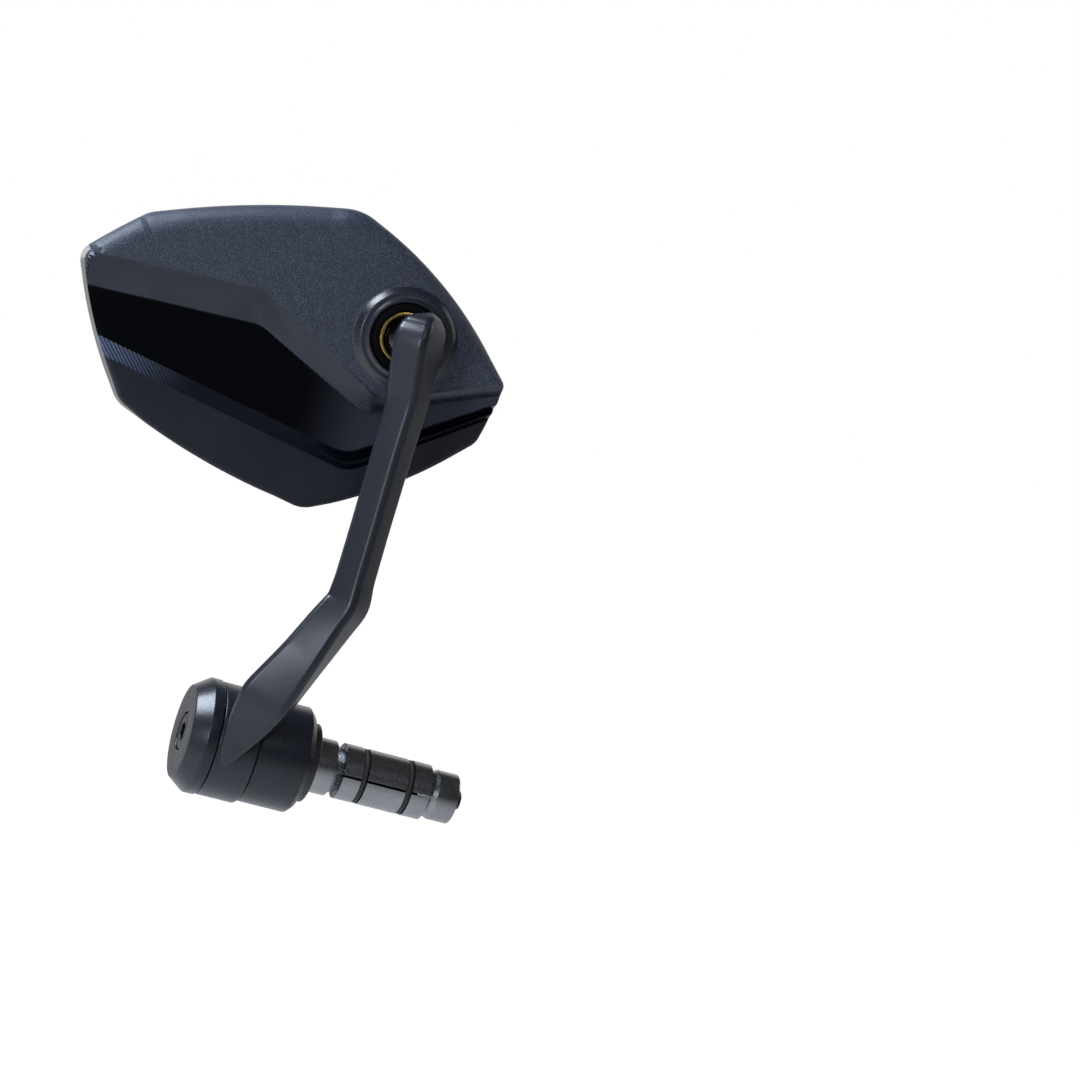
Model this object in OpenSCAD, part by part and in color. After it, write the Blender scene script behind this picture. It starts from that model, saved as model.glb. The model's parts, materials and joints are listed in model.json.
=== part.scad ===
// Motorcycle bar end mirror with an expanding bar clamp and a ball-jointed head.
// Origin: centre of the seat face against the end of the handlebar tube.
// +X runs inboard along the bar, +Y points back to the rider, +Z is up. Millimetres.

/* [Mirror head outline] */
// Ball centre to the outboard tip of the head
head_out = 90; // [75:1:110]
// Ball centre to the inboard nose of the head
head_in = 29.6; // [26:0.2:45]
// Ball centre to the crown of the head
head_top = 30; // [24:0.5:40]
// Ball centre to the chin of the head
head_low = 52.7; // [45:0.1:65]
// Height of the outboard tip from the ball centre
tip_z = -2.3; // [-8:0.1:4]
// Rounding of the outboard tip
tip_r = 3; // [1:0.5:6]
// Distance of the shoulder inboard of the tip
shoulder_in = 15; // [8:0.5:24]
// Height of the shoulder above the ball centre
shoulder_z = 13; // [8:0.5:18]
// Rounding of the shoulder
shoulder_r = 10; // [4:0.5:14]
// Distance of the crown outboard of the ball centre
crown_out = 20.5; // [12:0.5:28]
// Rounding of the crown
crown_r = 14; // [6:0.5:18]
// Depth of the nose below the ball centre
nose_low = 4.5; // [1:0.5:8]
// Rounding of the nose
nose_r = 2.4; // [1:0.1:4]
// Distance of the cheek outboard of the nose
cheek_out = 2.3; // [0.5:0.1:6]
// Depth of the cheek below the ball centre
cheek_low = 22; // [18:0.5:28]
// Rounding of the cheek
cheek_r = 6; // [2:0.5:8]
// Distance of the chin outboard of the ball centre
chin_out = 13; // [6:0.5:22]
// Rounding of the chin
chin_r = 9; // [4:0.5:14]
// Distance of the heel inboard of the tip
heel_in = 20.8; // [12:0.1:28]
// Depth of the heel below the ball centre
heel_low = 38.7; // [32:0.1:44]
// Rounding of the heel
heel_r = 5; // [2:0.5:8]
// Bow of the four upper and inboard sides: tip to shoulder, to crown, to nose, to cheek
side_bow = [0.3, 1.6, 4.1, 0.6]; // [0.1:0.1:6]
// Bow of the three lower sides: cheek to chin, to heel, to tip
low_bow = [2.4, 2.2, 1.9]; // [0.1:0.1:5]
// Depth of the head from the ball centre back to the mirror rim
rim_y = 14.2; // [13.8:0.1:18]
// Largest rounding of the back of the head along its edge
edge_round = 7; // [3:0.5:9]

/* [Milled back of the head] */
// Height of the upper terrace behind the ball centre
upper_y = 5.5; // [4.5:0.1:7]
// Height of the milled floor behind the ball centre
floor_y = 2; // [1:0.1:3]
// Height of the lower terrace behind the ball centre
lower_y = -1.5; // [-3:0.1:0]
// Place of the knee of the milled lines, outboard of the ball centre
knee_out = 40; // [32:0.5:48]
// Place of the vee of the milled lines, outboard of the ball centre
vee_out = 2; // [-4:0.5:8]
// Heights of the ridge above the floor: past the tip, at the knee, at the vee, past the nose
ridge_z = [-4.8, 2, -17.8, 13.5]; // [-60:0.1:60]
// Width of the bevel below the ridge at the same four places
ridge_bevel = [8, 9.4, 4.7, 3.1]; // [1:0.1:14]
// Heights of the lower edge of the floor at the same four places
lower_z = [-13.9, -29, -34.4, 17.8]; // [-60:0.1:60]
// Width of the bevel below the floor at the same four places
lower_bevel = [4.4, 4.4, 4.9, 1.8]; // [1:0.1:14]
// Rounding of the milled lines where they turn
line_round = 9; // [4:0.5:12]
// Rounding of the edge around the lower terrace
lower_round = 1.6; // [0.4:0.2:2.4]

/* [Mirror glass] */
// Width of the rim around the glass
rim_w = 2.2; // [1.2:0.1:4]
// Thickness of the mirror glass
glass_t = 2.8; // [2.4:0.1:3.4]
// Radius of the convex glass surface
glass_r = 1400; // [1200:50:2000]
// Thickness of the adhesive pad behind the glass
pad_t = 0.8; // [0.5:0.1:1.2]

/* [Ball joint] */
// Diameter of the ball
ball_d = 15; // [14:0.1:16]
// Diameter of the ball's neck
neck_d = 7.8; // [6.6:0.1:8]
// Distance from the bar axis up to the ball centre
ball_z = 119; // [105:1:140]
// Distance from the seat face out to the ball centre
ball_x = 8.5; // [6:0.5:12]
// Distance from the bar axis forward to the ball centre
ball_y = 1; // [-1:0.5:4]
// Distance from the ball centre to the middle of the arm's eye
stub_len = 18.5; // [18.2:0.1:22]
// Turn of the head about the upright axis at rest
head_turn = 8; // [0:1:11]
// Wall between the ball and the outside of the rear seat
seat_wall = 1.3; // [1:0.1:1.8]
// Outside diameter of the boss on the back of the head
boss_d = 23; // [22:0.5:26]

/* [Arm] */
// Width of the blade's flat face
blade_w = 8; // [7:0.2:10]
// Depth of the blade at its middle
blade_t = 8; // [7:0.2:10]
// Width of the foot of the blade
foot_w = 13; // [11:0.5:15]
// Depth of the eye at the top of the arm
eye_d = 14.4; // [13:0.2:15]
// Turn of the blade's flat face outboard
blade_turn = 43; // [30:1:48]
// Height of the bend above the bar axis
bend_z = 48; // [40:1:60]
// Radius of the blade's rounded edges
blade_r = 1.8; // [0.8:0.1:2.4]

/* [Bar end] */
// Step of the end cap out past the hub
cap_step = 0.3; // [0.1:0.1:1.5]
// Length of the end cap
cap_l = 7.5; // [7.3:0.1:9]
// Axial length of the cap's chamfer
cap_chamfer_l = 4.4; // [3:0.1:5]
// Radial depth of the cap's chamfer
cap_chamfer_r = 3.1; // [2:0.1:4]
// Diameter of the arm's hub
hub_d = 31.4; // [30:0.2:31.5]
// Length of the arm's hub
hub_l = 11.2; // [10:0.1:13]
// Diameter of the spacer sleeve
spacer_d = 29.6; // [27:0.2:30]
// Length of the spacer sleeve
spacer_l = 15.5; // [12:0.5:30]
// Chamfer at the inboard end of the spacer sleeve
spacer_chamfer = 1.5; // [0.5:0.1:2]
// Outside diameter of the handlebar tube
bar_d = 22; // [20:0.5:23]
// Thickness of the seat collar
collar_t = 2.5; // [1.5:0.1:4]

/* [Expanding clamp] */
// Diameter of the plug that enters the handlebar tube
plug_d = 15.5; // [15:0.1:16.4]
// Length of the plug's round land
plug_l = 6; // [4:0.5:8]
// Length of the expanding jaws
jaw_l = 25; // [22:1:32]
// Travel of the cone nut
nut_travel = 3; // [2:0.1:3.4]
// Slope of the clamp's cones
cone_angle = 25; // [20:1:26]
// Length of each cone
cone_l = 6; // [5:0.1:6.2]
// Clamp screw thread diameter
screw_d = 6; // [5:0.5:6]
// Clamp screw head diameter
screw_head_d = 10; // [8.5:0.1:10.2]
// Clamp screw head length
screw_head_l = 6; // [5:0.1:6.2]
// Hex socket across flats
hex_af = 5; // [4:0.1:6]

/* [Fits] */
// Radial running clearance of turning parts
run_gap = 0.06; // [0.03:0.01:0.1]
// Gap left between faces that pass each other
face_gap = 0.2; // [0.1:0.05:0.3]
// Radial clearance of parts that are only passed over the screw
pass_gap = 0.25; // [0.15:0.05:0.4]
// Gap around the glass
glass_gap = 0.25; // [0.1:0.05:0.5]

/* [Hidden] */
$fn = 96;
eps = 0.01;
thread_gap = 0.05;

// Places along the bar, outboard of the seat face
collar_x = -collar_t;
hub_x = collar_x - spacer_l;
cap_x = hub_x - hub_l;
cap_end_x = cap_x - cap_l;

// Hub bearing
cap_d = hub_d + 2 * cap_step;
spigot_d = 16;
bush_d = 19;
washer_d = 25;
washer_t = 0.9;
washer_proud = face_gap;
washer_recess = washer_t - washer_proud;
screw_washer_t = 1;
screw_top_gap = 0.2;
head_seat_x = cap_end_x + screw_top_gap + screw_head_l;
cap_floor_x = head_seat_x + screw_washer_t;
cap_bore_d = screw_head_d + 1;
cap_boss_d = 12.8;
cap_boss_l = 2;
spigot_end_x = cap_x + 2 * face_gap;

// Expanding clamp, worked out in its clamped position
core_gap = 1;
small_r = screw_d / 2 + core_gap + 0.2;
big_r = small_r + cone_l * tan(cone_angle);
cone_x = plug_l;
cone_inset = 1;
jaw_x = cone_x + cone_inset;
nut_x = jaw_x + jaw_l + cone_inset - cone_l + nut_travel;
jaw_shift_x = nut_travel / 2;
jaw_shift_r = jaw_shift_x * tan(cone_angle);
jaw_fit = 0.04;
jaw_slot = 1.7;
nut_l = 6;
screw_end_x = nut_x + cone_l + nut_l + 2;
groove_inset = 6;
ring_wire_d = 1.6;
groove_r = plug_d / 2 - ring_wire_d - 0.15;
groove_places = [
    jaw_x + jaw_shift_x + groove_inset,
    jaw_x + jaw_shift_x + jaw_l - groove_inset
];

// Ball joint, measured from the ball centre towards the arm
ball_r = ball_d / 2;
cup_r = ball_r + run_gap + seat_wall;
cavity_r = cup_r + run_gap;
cup_rim = -1.8;
brass_back = 1.5;
brass_flange_l = 1.7;
brass_front = 5.6;
brass_r = 7.2;
brass_bore_r = 6;
retainer_back = brass_back + brass_flange_l + 0.5;
retainer_front = 6.4;
boss_rim = 7.8;
boss_edge = 0.6;
boss_bore_r = 9.7;
neck_end = 11.2;
stud_thread_d = 6;
stud_reach = 20;

// Glass stack
glass_sink = 0.2;
recess_y = rim_y - glass_t - pad_t - glass_sink;
glass_mid = [head_in - head_out, head_top - head_low] / 2;
glass_reach = head_out + head_in;
boss_foot_r = 14;
crown_y = upper_y + 0.3;

// Corners of the head outline seen from behind the ball: x inboard, z up, fillet radius
outline_corners = [
    [-head_out, tip_z, tip_r],
    [shoulder_in - head_out, shoulder_z, shoulder_r],
    [-crown_out, head_top, crown_r],
    [head_in, -nose_low, nose_r],
    [head_in - cheek_out, -cheek_low, cheek_r],
    [-chin_out, -head_low, chin_r],
    [heel_in - head_out, -heel_low, heel_r]
];
// Milled lines across the back, each from past the tip to past the nose
reach = 40;
function milled_line(z, knee_shift, vee_shift) = [
    [-head_out - reach, z[0]],
    [-knee_out + knee_shift, z[1]],
    [-vee_out + vee_shift, z[2]],
    [head_in + reach, z[3]]
];
ridge_line = milled_line(ridge_z, 0, 0);
upper_foot = milled_line(ridge_z - ridge_bevel, 1.5, -3);
lower_ridge = milled_line(lower_z, 0, -4.5);
lower_foot = milled_line(lower_z - lower_bevel, 0, -2.5);

// Fillet of a corner as an arc of n + 1 points
function fillet(a, b, c, r, n) =
    let (u = (a - b) / norm(a - b), v = (c - b) / norm(c - b))
    let (half = acos(u * v) / 2, cut = r / tan(half))
    let (mid = b + (u + v) / norm(u + v) * r / sin(half))
    let (p = b + u * cut, q = b + v * cut)
    let (a0 = atan2(p[1] - mid[1], p[0] - mid[0]), a1 = atan2(q[1] - mid[1], q[0] - mid[0]))
    let (turn = a1 - a0 > 180 ? a1 - a0 - 360 : a1 - a0 < -180 ? a1 - a0 + 360 : a1 - a0)
    [for (i = [0:n]) mid + r * [cos(a0 + turn * i / n), sin(a0 + turn * i / n)]];
function flat_xy(p) = [p[0], p[1]];
function rounded_polygon(c, n) = [
    for (i = [0:len(c) - 1])
        each fillet(flat_xy(c[(i + len(c) - 1) % len(c)]), flat_xy(c[i]),
                    flat_xy(c[(i + 1) % len(c)]), c[i][2], n)
];
function rounded_line(p, r, n) = [
    p[0], each fillet(p[0], p[1], p[2], r, n), each fillet(p[1], p[2], p[3], r, n), p[3]
];
// Corner added to the middle of a side, whose wide fillet bows the side out by h
bow_share = 0.7;
function bow_corner(a, b, h) =
    let (l = norm(b - a) / 2, d = (b - a) / (2 * l), out = h * 2 / (2 - bow_share))
    concat((a + b) / 2 + [-d[1], d[0]] * out, bow_share * l * norm([l, out]) / out);
bows = concat(side_bow, low_bow);
head_outline = rounded_polygon([
    for (i = [0:len(outline_corners) - 1])
        let (a = outline_corners[i], b = outline_corners[(i + 1) % len(outline_corners)])
        each [a, bow_corner(flat_xy(a), flat_xy(b), bows[i])]
], 5);

// Loft between two polygons of equal count at heights z0 and z1
module loft(lower, upper, z0, z1) {
    n = len(lower);
    polyhedron(
        points = [for (p = lower) [p[0], p[1], z0], for (p = upper) [p[0], p[1], z1]],
        faces = [
            [for (i = [0:n - 1]) i],
            for (i = [0:n - 1]) [i, i + n, (i + 1) % n + n, (i + 1) % n],
            [for (i = [0:n - 1]) 2 * n - 1 - i]
        ],
        convexity = 4
    );
}
// Places children drawn in the head's own plane, z counted from the ball towards the arm
module head_plane() {
    translate([-ball_x, -ball_y, ball_z])
        rotate([0, 0, -head_turn])
            rotate([90, 0, 0])
                children();
}
// Places children about the ball, z counted along the stub towards the arm
module stub_axis() {
    translate([-ball_x, -ball_y, ball_z])
        rotate([90, 0, 0])
            children();
}
// Turns a shape drawn along z to run inboard along the bar from x
module along_bar(x) {
    translate([x, 0, 0])
        rotate([0, 90, 0])
            children();
}
// Closed ring of revolution from inner and outer radius
module tube(r_out, r_in, l) {
    rotate_extrude()
        translate([r_in, 0])
            square([r_out - r_in, l]);
}

// Block of metal above a milled line, from the foot line up to the ridge line
module terrace(foot, ridge, z0, z1) {
    top = head_top + reach;
    wide = head_out + reach;
    loft(
        concat([[wide, top], [-wide, top]], rounded_line(foot, line_round, 6)),
        concat([[wide, top], [-wide, top]], rounded_line(ridge, line_round, 6)),
        z0, z1
    );
}
// Head outline with its edge rounded by r up to height top
module pillow(top, r, step) {
    hull()
        for (a = [0:step:90])
            translate([0, 0, top - r + r * sin(a) - eps])
                linear_extrude(eps)
                    offset(delta = -r * (1 - cos(a)))
                        polygon(head_outline);
}
module head_slab(top) {
    translate([0, 0, -rim_y])
        linear_extrude(rim_y + top)
            polygon(head_outline);
}
module boss_profile() {
    foot = boss_foot_r - boss_d / 2;
    base = upper_y - 0.4;
    difference() {
        polygon([
            [0, floor_y - 3], [boss_foot_r, floor_y - 3], [boss_foot_r, base],
            [boss_d / 2, boss_rim - boss_edge], [boss_d / 2 - boss_edge, boss_rim], [0, boss_rim]
        ]);
        translate([boss_foot_r, base + foot])
            circle(r = foot);
    }
}
module mirror_housing() {
    color([0.06, 0.065, 0.075])
        head_plane() {
            difference() {
                union() {
                    head_slab(lower_y - lower_round);
                    pillow(lower_y, lower_round, 30);
                    intersection() {
                        union() {
                            terrace(lower_foot, lower_foot, -rim_y, lower_y);
                            terrace(lower_foot, lower_ridge, lower_y - eps, floor_y);
                            terrace(upper_foot, ridge_line, floor_y - eps, upper_y);
                        }
                        union() {
                            head_slab(crown_y - edge_round);
                            pillow(crown_y, edge_round, 15);
                        }
                    }
                    rotate_extrude()
                        boss_profile();
                }
                glass_recess();
                ball_cavity();
            }
        }
}
module glass_recess() {
    translate([0, 0, -rim_y - eps])
        linear_extrude(rim_y - recess_y + eps)
            offset(delta = -rim_w)
                polygon(head_outline);
}
module ball_cavity() {
    rotate_extrude()
        intersection() {
            circle(r = cavity_r);
            translate([0, -cavity_r])
                square([cavity_r, cavity_r]);
        }
    translate([0, 0, -eps])
        cylinder(r = cavity_r, h = retainer_back + eps);
    translate([0, 0, retainer_back])
        cylinder(r = boss_bore_r, h = boss_rim);
}

module adhesive_pad() {
    color([0.12, 0.12, 0.12])
        head_plane()
            translate([0, 0, -recess_y - pad_t])
                linear_extrude(pad_t)
                    offset(delta = -rim_w - 1)
                        polygon(head_outline);
}
// Half section of the glass: flat behind, convex on the side that faces back
module lens_profile() {
    steps = 10;
    polygon([
        [0, glass_t],
        for (i = [0:steps])
            let (x = i * glass_reach / steps)
            [x, glass_r - sqrt(glass_r * glass_r - x * x)],
        [glass_reach, glass_t + 1]
    ]);
}
module mirror_glass() {
    face = recess_y + pad_t;
    color([0.7, 0.75, 0.8])
        head_plane()
            intersection() {
                translate([0, 0, -face - glass_t])
                    linear_extrude(glass_t)
                        offset(delta = -rim_w - glass_gap)
                            polygon(head_outline);
                translate([glass_mid[0], glass_mid[1], -face - glass_t])
                    rotate_extrude()
                        lens_profile();
            }
}

module ball_stud() {
    color([0.35, 0.36, 0.38])
        stub_axis() {
            sphere(d = ball_d);
            cylinder(d = neck_d, h = neck_end);
            cylinder(d = stud_thread_d, h = stud_reach);
        }
}
// Dished seat behind the ball
module rear_seat_cup() {
    color([0.16, 0.16, 0.17])
        head_plane()
            rotate_extrude()
                intersection() {
                    difference() {
                        circle(r = cup_r);
                        circle(r = ball_r + run_gap);
                    }
                    translate([0, -cup_r])
                        square([cup_r, cup_r + cup_rim]);
                }
}
// Stepped brass ring that bears on the front of the ball
module brass_seat_ring() {
    flange_front = brass_back + brass_flange_l;
    color([0.83, 0.62, 0.25])
        head_plane()
            rotate_extrude()
                difference() {
                    union() {
                        translate([0, brass_back])
                            square([cup_r, brass_flange_l]);
                        translate([0, brass_back])
                            square([brass_r, brass_front - brass_back]);
                    }
                    circle(r = ball_r + run_gap);
                    square([brass_bore_r, 2 * brass_front]);
                }
}
module wave_spring() {
    color([0.55, 0.56, 0.58])
        head_plane()
            translate([0, 0, brass_back + brass_flange_l])
                tube(cup_r, brass_r + pass_gap, retainer_back - brass_back - brass_flange_l);
}
module retaining_ring() {
    color([0.03, 0.03, 0.035])
        head_plane()
            translate([0, 0, retainer_back])
                tube(boss_bore_r - thread_gap, brass_r + run_gap, retainer_front - retainer_back);
}

// Stations of the blade from the hub to the top of the eye:
// centre, half width, half depth, turn of the flat face
eye_x = -ball_x - 0.4;
arm_y = -ball_y - stub_len;
blade_x = -6.9;
hub_mid_x = hub_x - hub_l / 2;
eye_r = eye_d / 2;
foot_turn = blade_turn - 18;
stations = [
    [[hub_mid_x - 1.6, -hub_d / 2 + 1.5, -9], foot_w / 2 - 4, 1.8, foot_turn - 12],
    [[hub_mid_x - 0.6, -hub_d / 2 - 0.4, -3], foot_w / 2 - 2, 3, foot_turn - 8],
    [[hub_mid_x + 0.9, -hub_d / 2 - 1.9, 5], foot_w / 2 - 0.4, 3.7, foot_turn - 4],
    [[hub_mid_x + 3.8, arm_y + 1, 15], foot_w / 2, blade_t / 2, foot_turn],
    [[hub_mid_x + 9.8, arm_y + 0.4, 30], foot_w / 2, blade_t / 2, foot_turn + 3],
    [[blade_x - 3.4, arm_y, bend_z - 9], foot_w / 2 - 0.4, blade_t / 2, foot_turn + 6],
    [[blade_x - 0.8, arm_y, bend_z - 2], foot_w / 2 - 1.3, blade_t / 2, foot_turn + 10],
    [[blade_x, arm_y, bend_z + 6], blade_w / 2 + 0.2, blade_t / 2, blade_turn - 2],
    [[blade_x, arm_y, bend_z + 20], blade_w / 2, blade_t / 2, blade_turn],
    [[blade_x, arm_y, ball_z - 30], blade_w / 2, blade_t / 2 + 0.2, blade_turn],
    [[blade_x, arm_y, ball_z - 16], blade_w / 2, blade_t / 2 + 0.8, blade_turn],
    [[(blade_x + eye_x) / 2 - 0.3, arm_y, ball_z - 8], blade_w / 2, eye_r - 1.1, blade_turn],
    [[eye_x, arm_y, ball_z], blade_w / 2 + 0.2, eye_r, blade_turn],
    [[eye_x, arm_y, ball_z + eye_r * 0.5], blade_w / 2 + 0.1, eye_r * 0.866, blade_turn],
    [[eye_x, arm_y, ball_z + eye_r * 0.8], blade_w / 2 - 0.3, eye_r * 0.6, blade_turn],
    [[eye_x, arm_y, ball_z + eye_r * 0.95], blade_w / 2 - 1.1, eye_r * 0.33, blade_turn],
    [[eye_x, arm_y, ball_z + eye_r * 1.02], blade_w / 2 - 2.2, eye_r * 0.12, blade_turn]
];
corner_steps = 4;
function unit(v) = v / norm(v);
function tangent(i) =
    i == 0 ? unit(stations[1][0] - stations[0][0])
    : i == len(stations) - 1 ? [0, 0, 1]
    : unit(unit(stations[i + 1][0] - stations[i][0]) + unit(stations[i][0] - stations[i - 1][0]));
function face_out(i) = [-sin(stations[i][3]), -cos(stations[i][3]), 0];
// Rounded rectangle of half sizes a and b
function section(a, b, r) = [
    for (q = [0:3], i = [0:corner_steps])
        let (sx = q == 0 || q == 3 ? 1 : -1, sy = q < 2 ? 1 : -1, t = 90 * (q + i / corner_steps))
        [sx * (a - r) + r * cos(t), sy * (b - r) + r * sin(t)]
];
function ring(i) =
    let (s = stations[i], t = tangent(i), side = unit(cross(t, face_out(i))), out = cross(side, t))
    let (r = min(blade_r, s[1] * 0.9, s[2] * 0.9))
    [for (p = section(s[1], s[2], r)) s[0] + side * p[0] + out * p[1]];
module blade() {
    m = 4 * (corner_steps + 1);
    n = len(stations);
    polyhedron(
        points = [for (i = [0:n - 1]) each ring(i)],
        faces = [
            [for (j = [0:m - 1]) m - 1 - j],
            for (i = [0:n - 2], j = [0:m - 1])
                [i * m + j, i * m + (j + 1) % m, (i + 1) * m + (j + 1) % m, (i + 1) * m + j],
            [for (j = [0:m - 1]) (n - 1) * m + j]
        ],
        convexity = 4
    );
}
module hub_profile() {
    soft = 0.5;
    polygon([
        [0, 0], [hub_d / 2 - soft, 0], [hub_d / 2, soft],
        [hub_d / 2, hub_l - soft], [hub_d / 2 - soft, hub_l], [0, hub_l]
    ]);
}
module arm() {
    color([0.16, 0.17, 0.19])
        difference() {
            union() {
                blade();
                along_bar(cap_x)
                    rotate_extrude()
                        hub_profile();
                stub_axis()
                    translate([0, 0, neck_end])
                        cylinder(d = neck_d + 2.4, h = stub_len - neck_end);
            }
            along_bar(cap_x - 1)
                cylinder(d = bush_d, h = hub_l + 2);
            along_bar(cap_x - 1)
                cylinder(d = washer_d + 0.3, h = washer_recess + 1);
            along_bar(hub_x - washer_recess)
                cylinder(d = washer_d + 0.3, h = washer_recess + 1);
            stub_axis()
                translate([0, 0, neck_end - 1])
                    cylinder(d = stud_thread_d + 2 * thread_gap, h = stud_reach - neck_end + 1.2);
        }
}

module hub_bush() {
    color([0.72, 0.55, 0.3])
        along_bar(cap_x + washer_recess)
            tube(bush_d / 2, spigot_d / 2, hub_l - 2 * washer_recess);
}
module friction_washer() {
    tube(washer_d / 2, spigot_d / 2, washer_t);
}
module friction_washer_outer() {
    color([0.2, 0.2, 0.2])
        along_bar(cap_x - washer_proud)
            friction_washer();
}
module friction_washer_inner() {
    color([0.2, 0.2, 0.2])
        along_bar(hub_x - washer_recess)
            friction_washer();
}
module end_cap() {
    out = washer_proud;
    color([0.1, 0.105, 0.115])
        along_bar(cap_end_x)
            rotate_extrude()
                difference() {
                    polygon([
                        [0, 0],
                        [cap_d / 2 - cap_chamfer_r, 0],
                        [cap_d / 2, cap_chamfer_l],
                        [cap_d / 2, cap_l - out],
                        [cap_boss_d / 2, cap_l - out],
                        [cap_boss_d / 2, cap_l + cap_boss_l],
                        [0, cap_l + cap_boss_l]
                    ]);
                    square([cap_bore_d / 2, cap_floor_x - cap_end_x]);
                    square([screw_d / 2 + pass_gap, 4 * cap_l]);
                }
}
module screw_washer() {
    color([0.15, 0.15, 0.16])
        along_bar(head_seat_x)
            tube(cap_bore_d / 2 - 0.1, screw_d / 2 + pass_gap, screw_washer_t);
}
module clamp_screw() {
    color([0.08, 0.08, 0.09])
        difference() {
            union() {
                along_bar(head_seat_x - screw_head_l)
                    cylinder(d = screw_head_d, h = screw_head_l);
                along_bar(head_seat_x)
                    cylinder(d = screw_d, h = screw_end_x - head_seat_x);
            }
            along_bar(head_seat_x - screw_head_l - 1)
                cylinder(d = hex_af / cos(30), h = screw_head_l * 0.55 + 1, $fn = 6);
        }
}
module spacer_sleeve() {
    c = spacer_chamfer;
    color([0.09, 0.095, 0.105])
        difference() {
            union() {
                along_bar(hub_x + washer_proud)
                    rotate_extrude()
                        polygon([
                            [0, 0], [spacer_d / 2, 0],
                            [spacer_d / 2, spacer_l - washer_proud - c],
                            [spacer_d / 2 - c, spacer_l - washer_proud],
                            [0, spacer_l - washer_proud]
                        ]);
                along_bar(spigot_end_x)
                    cylinder(d = spigot_d - 2 * run_gap, h = hub_x - spigot_end_x + 1);
            }
            along_bar(spigot_end_x - 1)
                cylinder(d = cap_boss_d + 2 * pass_gap, h = cap_boss_l + 1 + face_gap);
            along_bar(spigot_end_x - 1)
                cylinder(d = screw_d + 2 * pass_gap, h = hub_l + spacer_l + 5);
        }
}
module seat_collar() {
    color([0.05, 0.05, 0.055])
        along_bar(collar_x)
            tube(bar_d / 2, plug_d / 2 + run_gap, collar_t);
}
// Cone drawn from its big end at z = 0, with a flat ring around it
module cone(grow) {
    cylinder(r1 = big_r + grow, r2 = small_r + grow, h = cone_l);
}
module fixed_cone() {
    color([0.6, 0.61, 0.63])
        difference() {
            union() {
                along_bar(collar_x)
                    cylinder(d = plug_d - 2 * pass_gap, h = collar_t);
                along_bar(0)
                    cylinder(d = plug_d, h = plug_l);
                along_bar(cone_x)
                    cone(0);
            }
            along_bar(collar_x - 1)
                cylinder(d = screw_d + 2 * pass_gap, h = cone_x + cone_l + collar_t + 2);
        }
}
module cone_nut() {
    color([0.6, 0.61, 0.63])
        difference() {
            union() {
                along_bar(nut_x + cone_l)
                    cylinder(r = big_r, h = nut_l);
                along_bar(nut_x + cone_l)
                    mirror([0, 0, 1])
                        cone(0);
            }
            along_bar(nut_x - 1)
                cylinder(d = screw_d + 2 * run_gap, h = cone_l + nut_l + 2);
        }
}
// One jaw of the clamp, cut to the cones in its clamped place and moved back to rest
module clamp_jaw(k) {
    turn = 45 + 90 * k;
    apex = jaw_slot / 2 * sqrt(2);
    color([0.5, 0.51, 0.53])
        difference() {
            intersection() {
                translate([jaw_shift_x, -jaw_shift_r * sin(turn), jaw_shift_r * cos(turn)])
                    difference() {
                        along_bar(jaw_x)
                            rotate([0, 0, turn])
                                linear_extrude(jaw_l)
                                    polygon([[apex, 0], [apex + plug_d, plug_d], [apex + plug_d, -plug_d]]);
                        along_bar(cone_x)
                            cone(jaw_fit);
                        along_bar(nut_x + cone_l - nut_travel)
                            mirror([0, 0, 1])
                                cone(jaw_fit);
                        along_bar(0)
                            cylinder(r = small_r + jaw_fit, h = nut_x);
                    }
                along_bar(0)
                    cylinder(d = plug_d, h = nut_x + cone_l);
            }
            for (x = groove_places)
                along_bar(x - ring_wire_d / 2 - jaw_fit)
                    tube(plug_d, groove_r, ring_wire_d + 2 * jaw_fit);
        }
}
module clamp_jaw_1() { clamp_jaw(0); }
module clamp_jaw_2() { clamp_jaw(1); }
module clamp_jaw_3() { clamp_jaw(2); }
module clamp_jaw_4() { clamp_jaw(3); }
module jaw_ring(x) {
    color([0.05, 0.05, 0.05])
        along_bar(x)
            rotate_extrude()
                translate([groove_r + jaw_fit + ring_wire_d / 2, 0])
                    circle(d = ring_wire_d, $fn = 24);
}
module jaw_ring_outer() { jaw_ring(groove_places[0]); }
module jaw_ring_inner() { jaw_ring(groove_places[1]); }

end_cap();
clamp_screw();
screw_washer();
arm();
hub_bush();
friction_washer_outer();
friction_washer_inner();
spacer_sleeve();
seat_collar();
fixed_cone();
clamp_jaw_1();
clamp_jaw_2();
clamp_jaw_3();
clamp_jaw_4();
jaw_ring_outer();
jaw_ring_inner();
cone_nut();
ball_stud();
rear_seat_cup();
brass_seat_ring();
wave_spring();
retaining_ring();
mirror_housing();
adhesive_pad();
mirror_glass();
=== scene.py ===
"""Motorcycle bar end mirror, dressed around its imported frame.

The head, the arm and the turned pieces are modelled here at full detail in millimetres and placed in
the row frame: +X runs inboard along the handlebar, +Y points back to the rider, +Z is up. On the head
the places are given across (inboard), up, and in height from the ball's centre towards the arm.
"""
from __future__ import annotations

import json
import logging
import math
from dataclasses import dataclass, field
from enum import Enum
from typing import Any, Sequence, Union

import bmesh
import bpy
import numpy as np
from mathutils import Matrix, Vector
from mathutils.geometry import delaunay_2d_cdt

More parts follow.
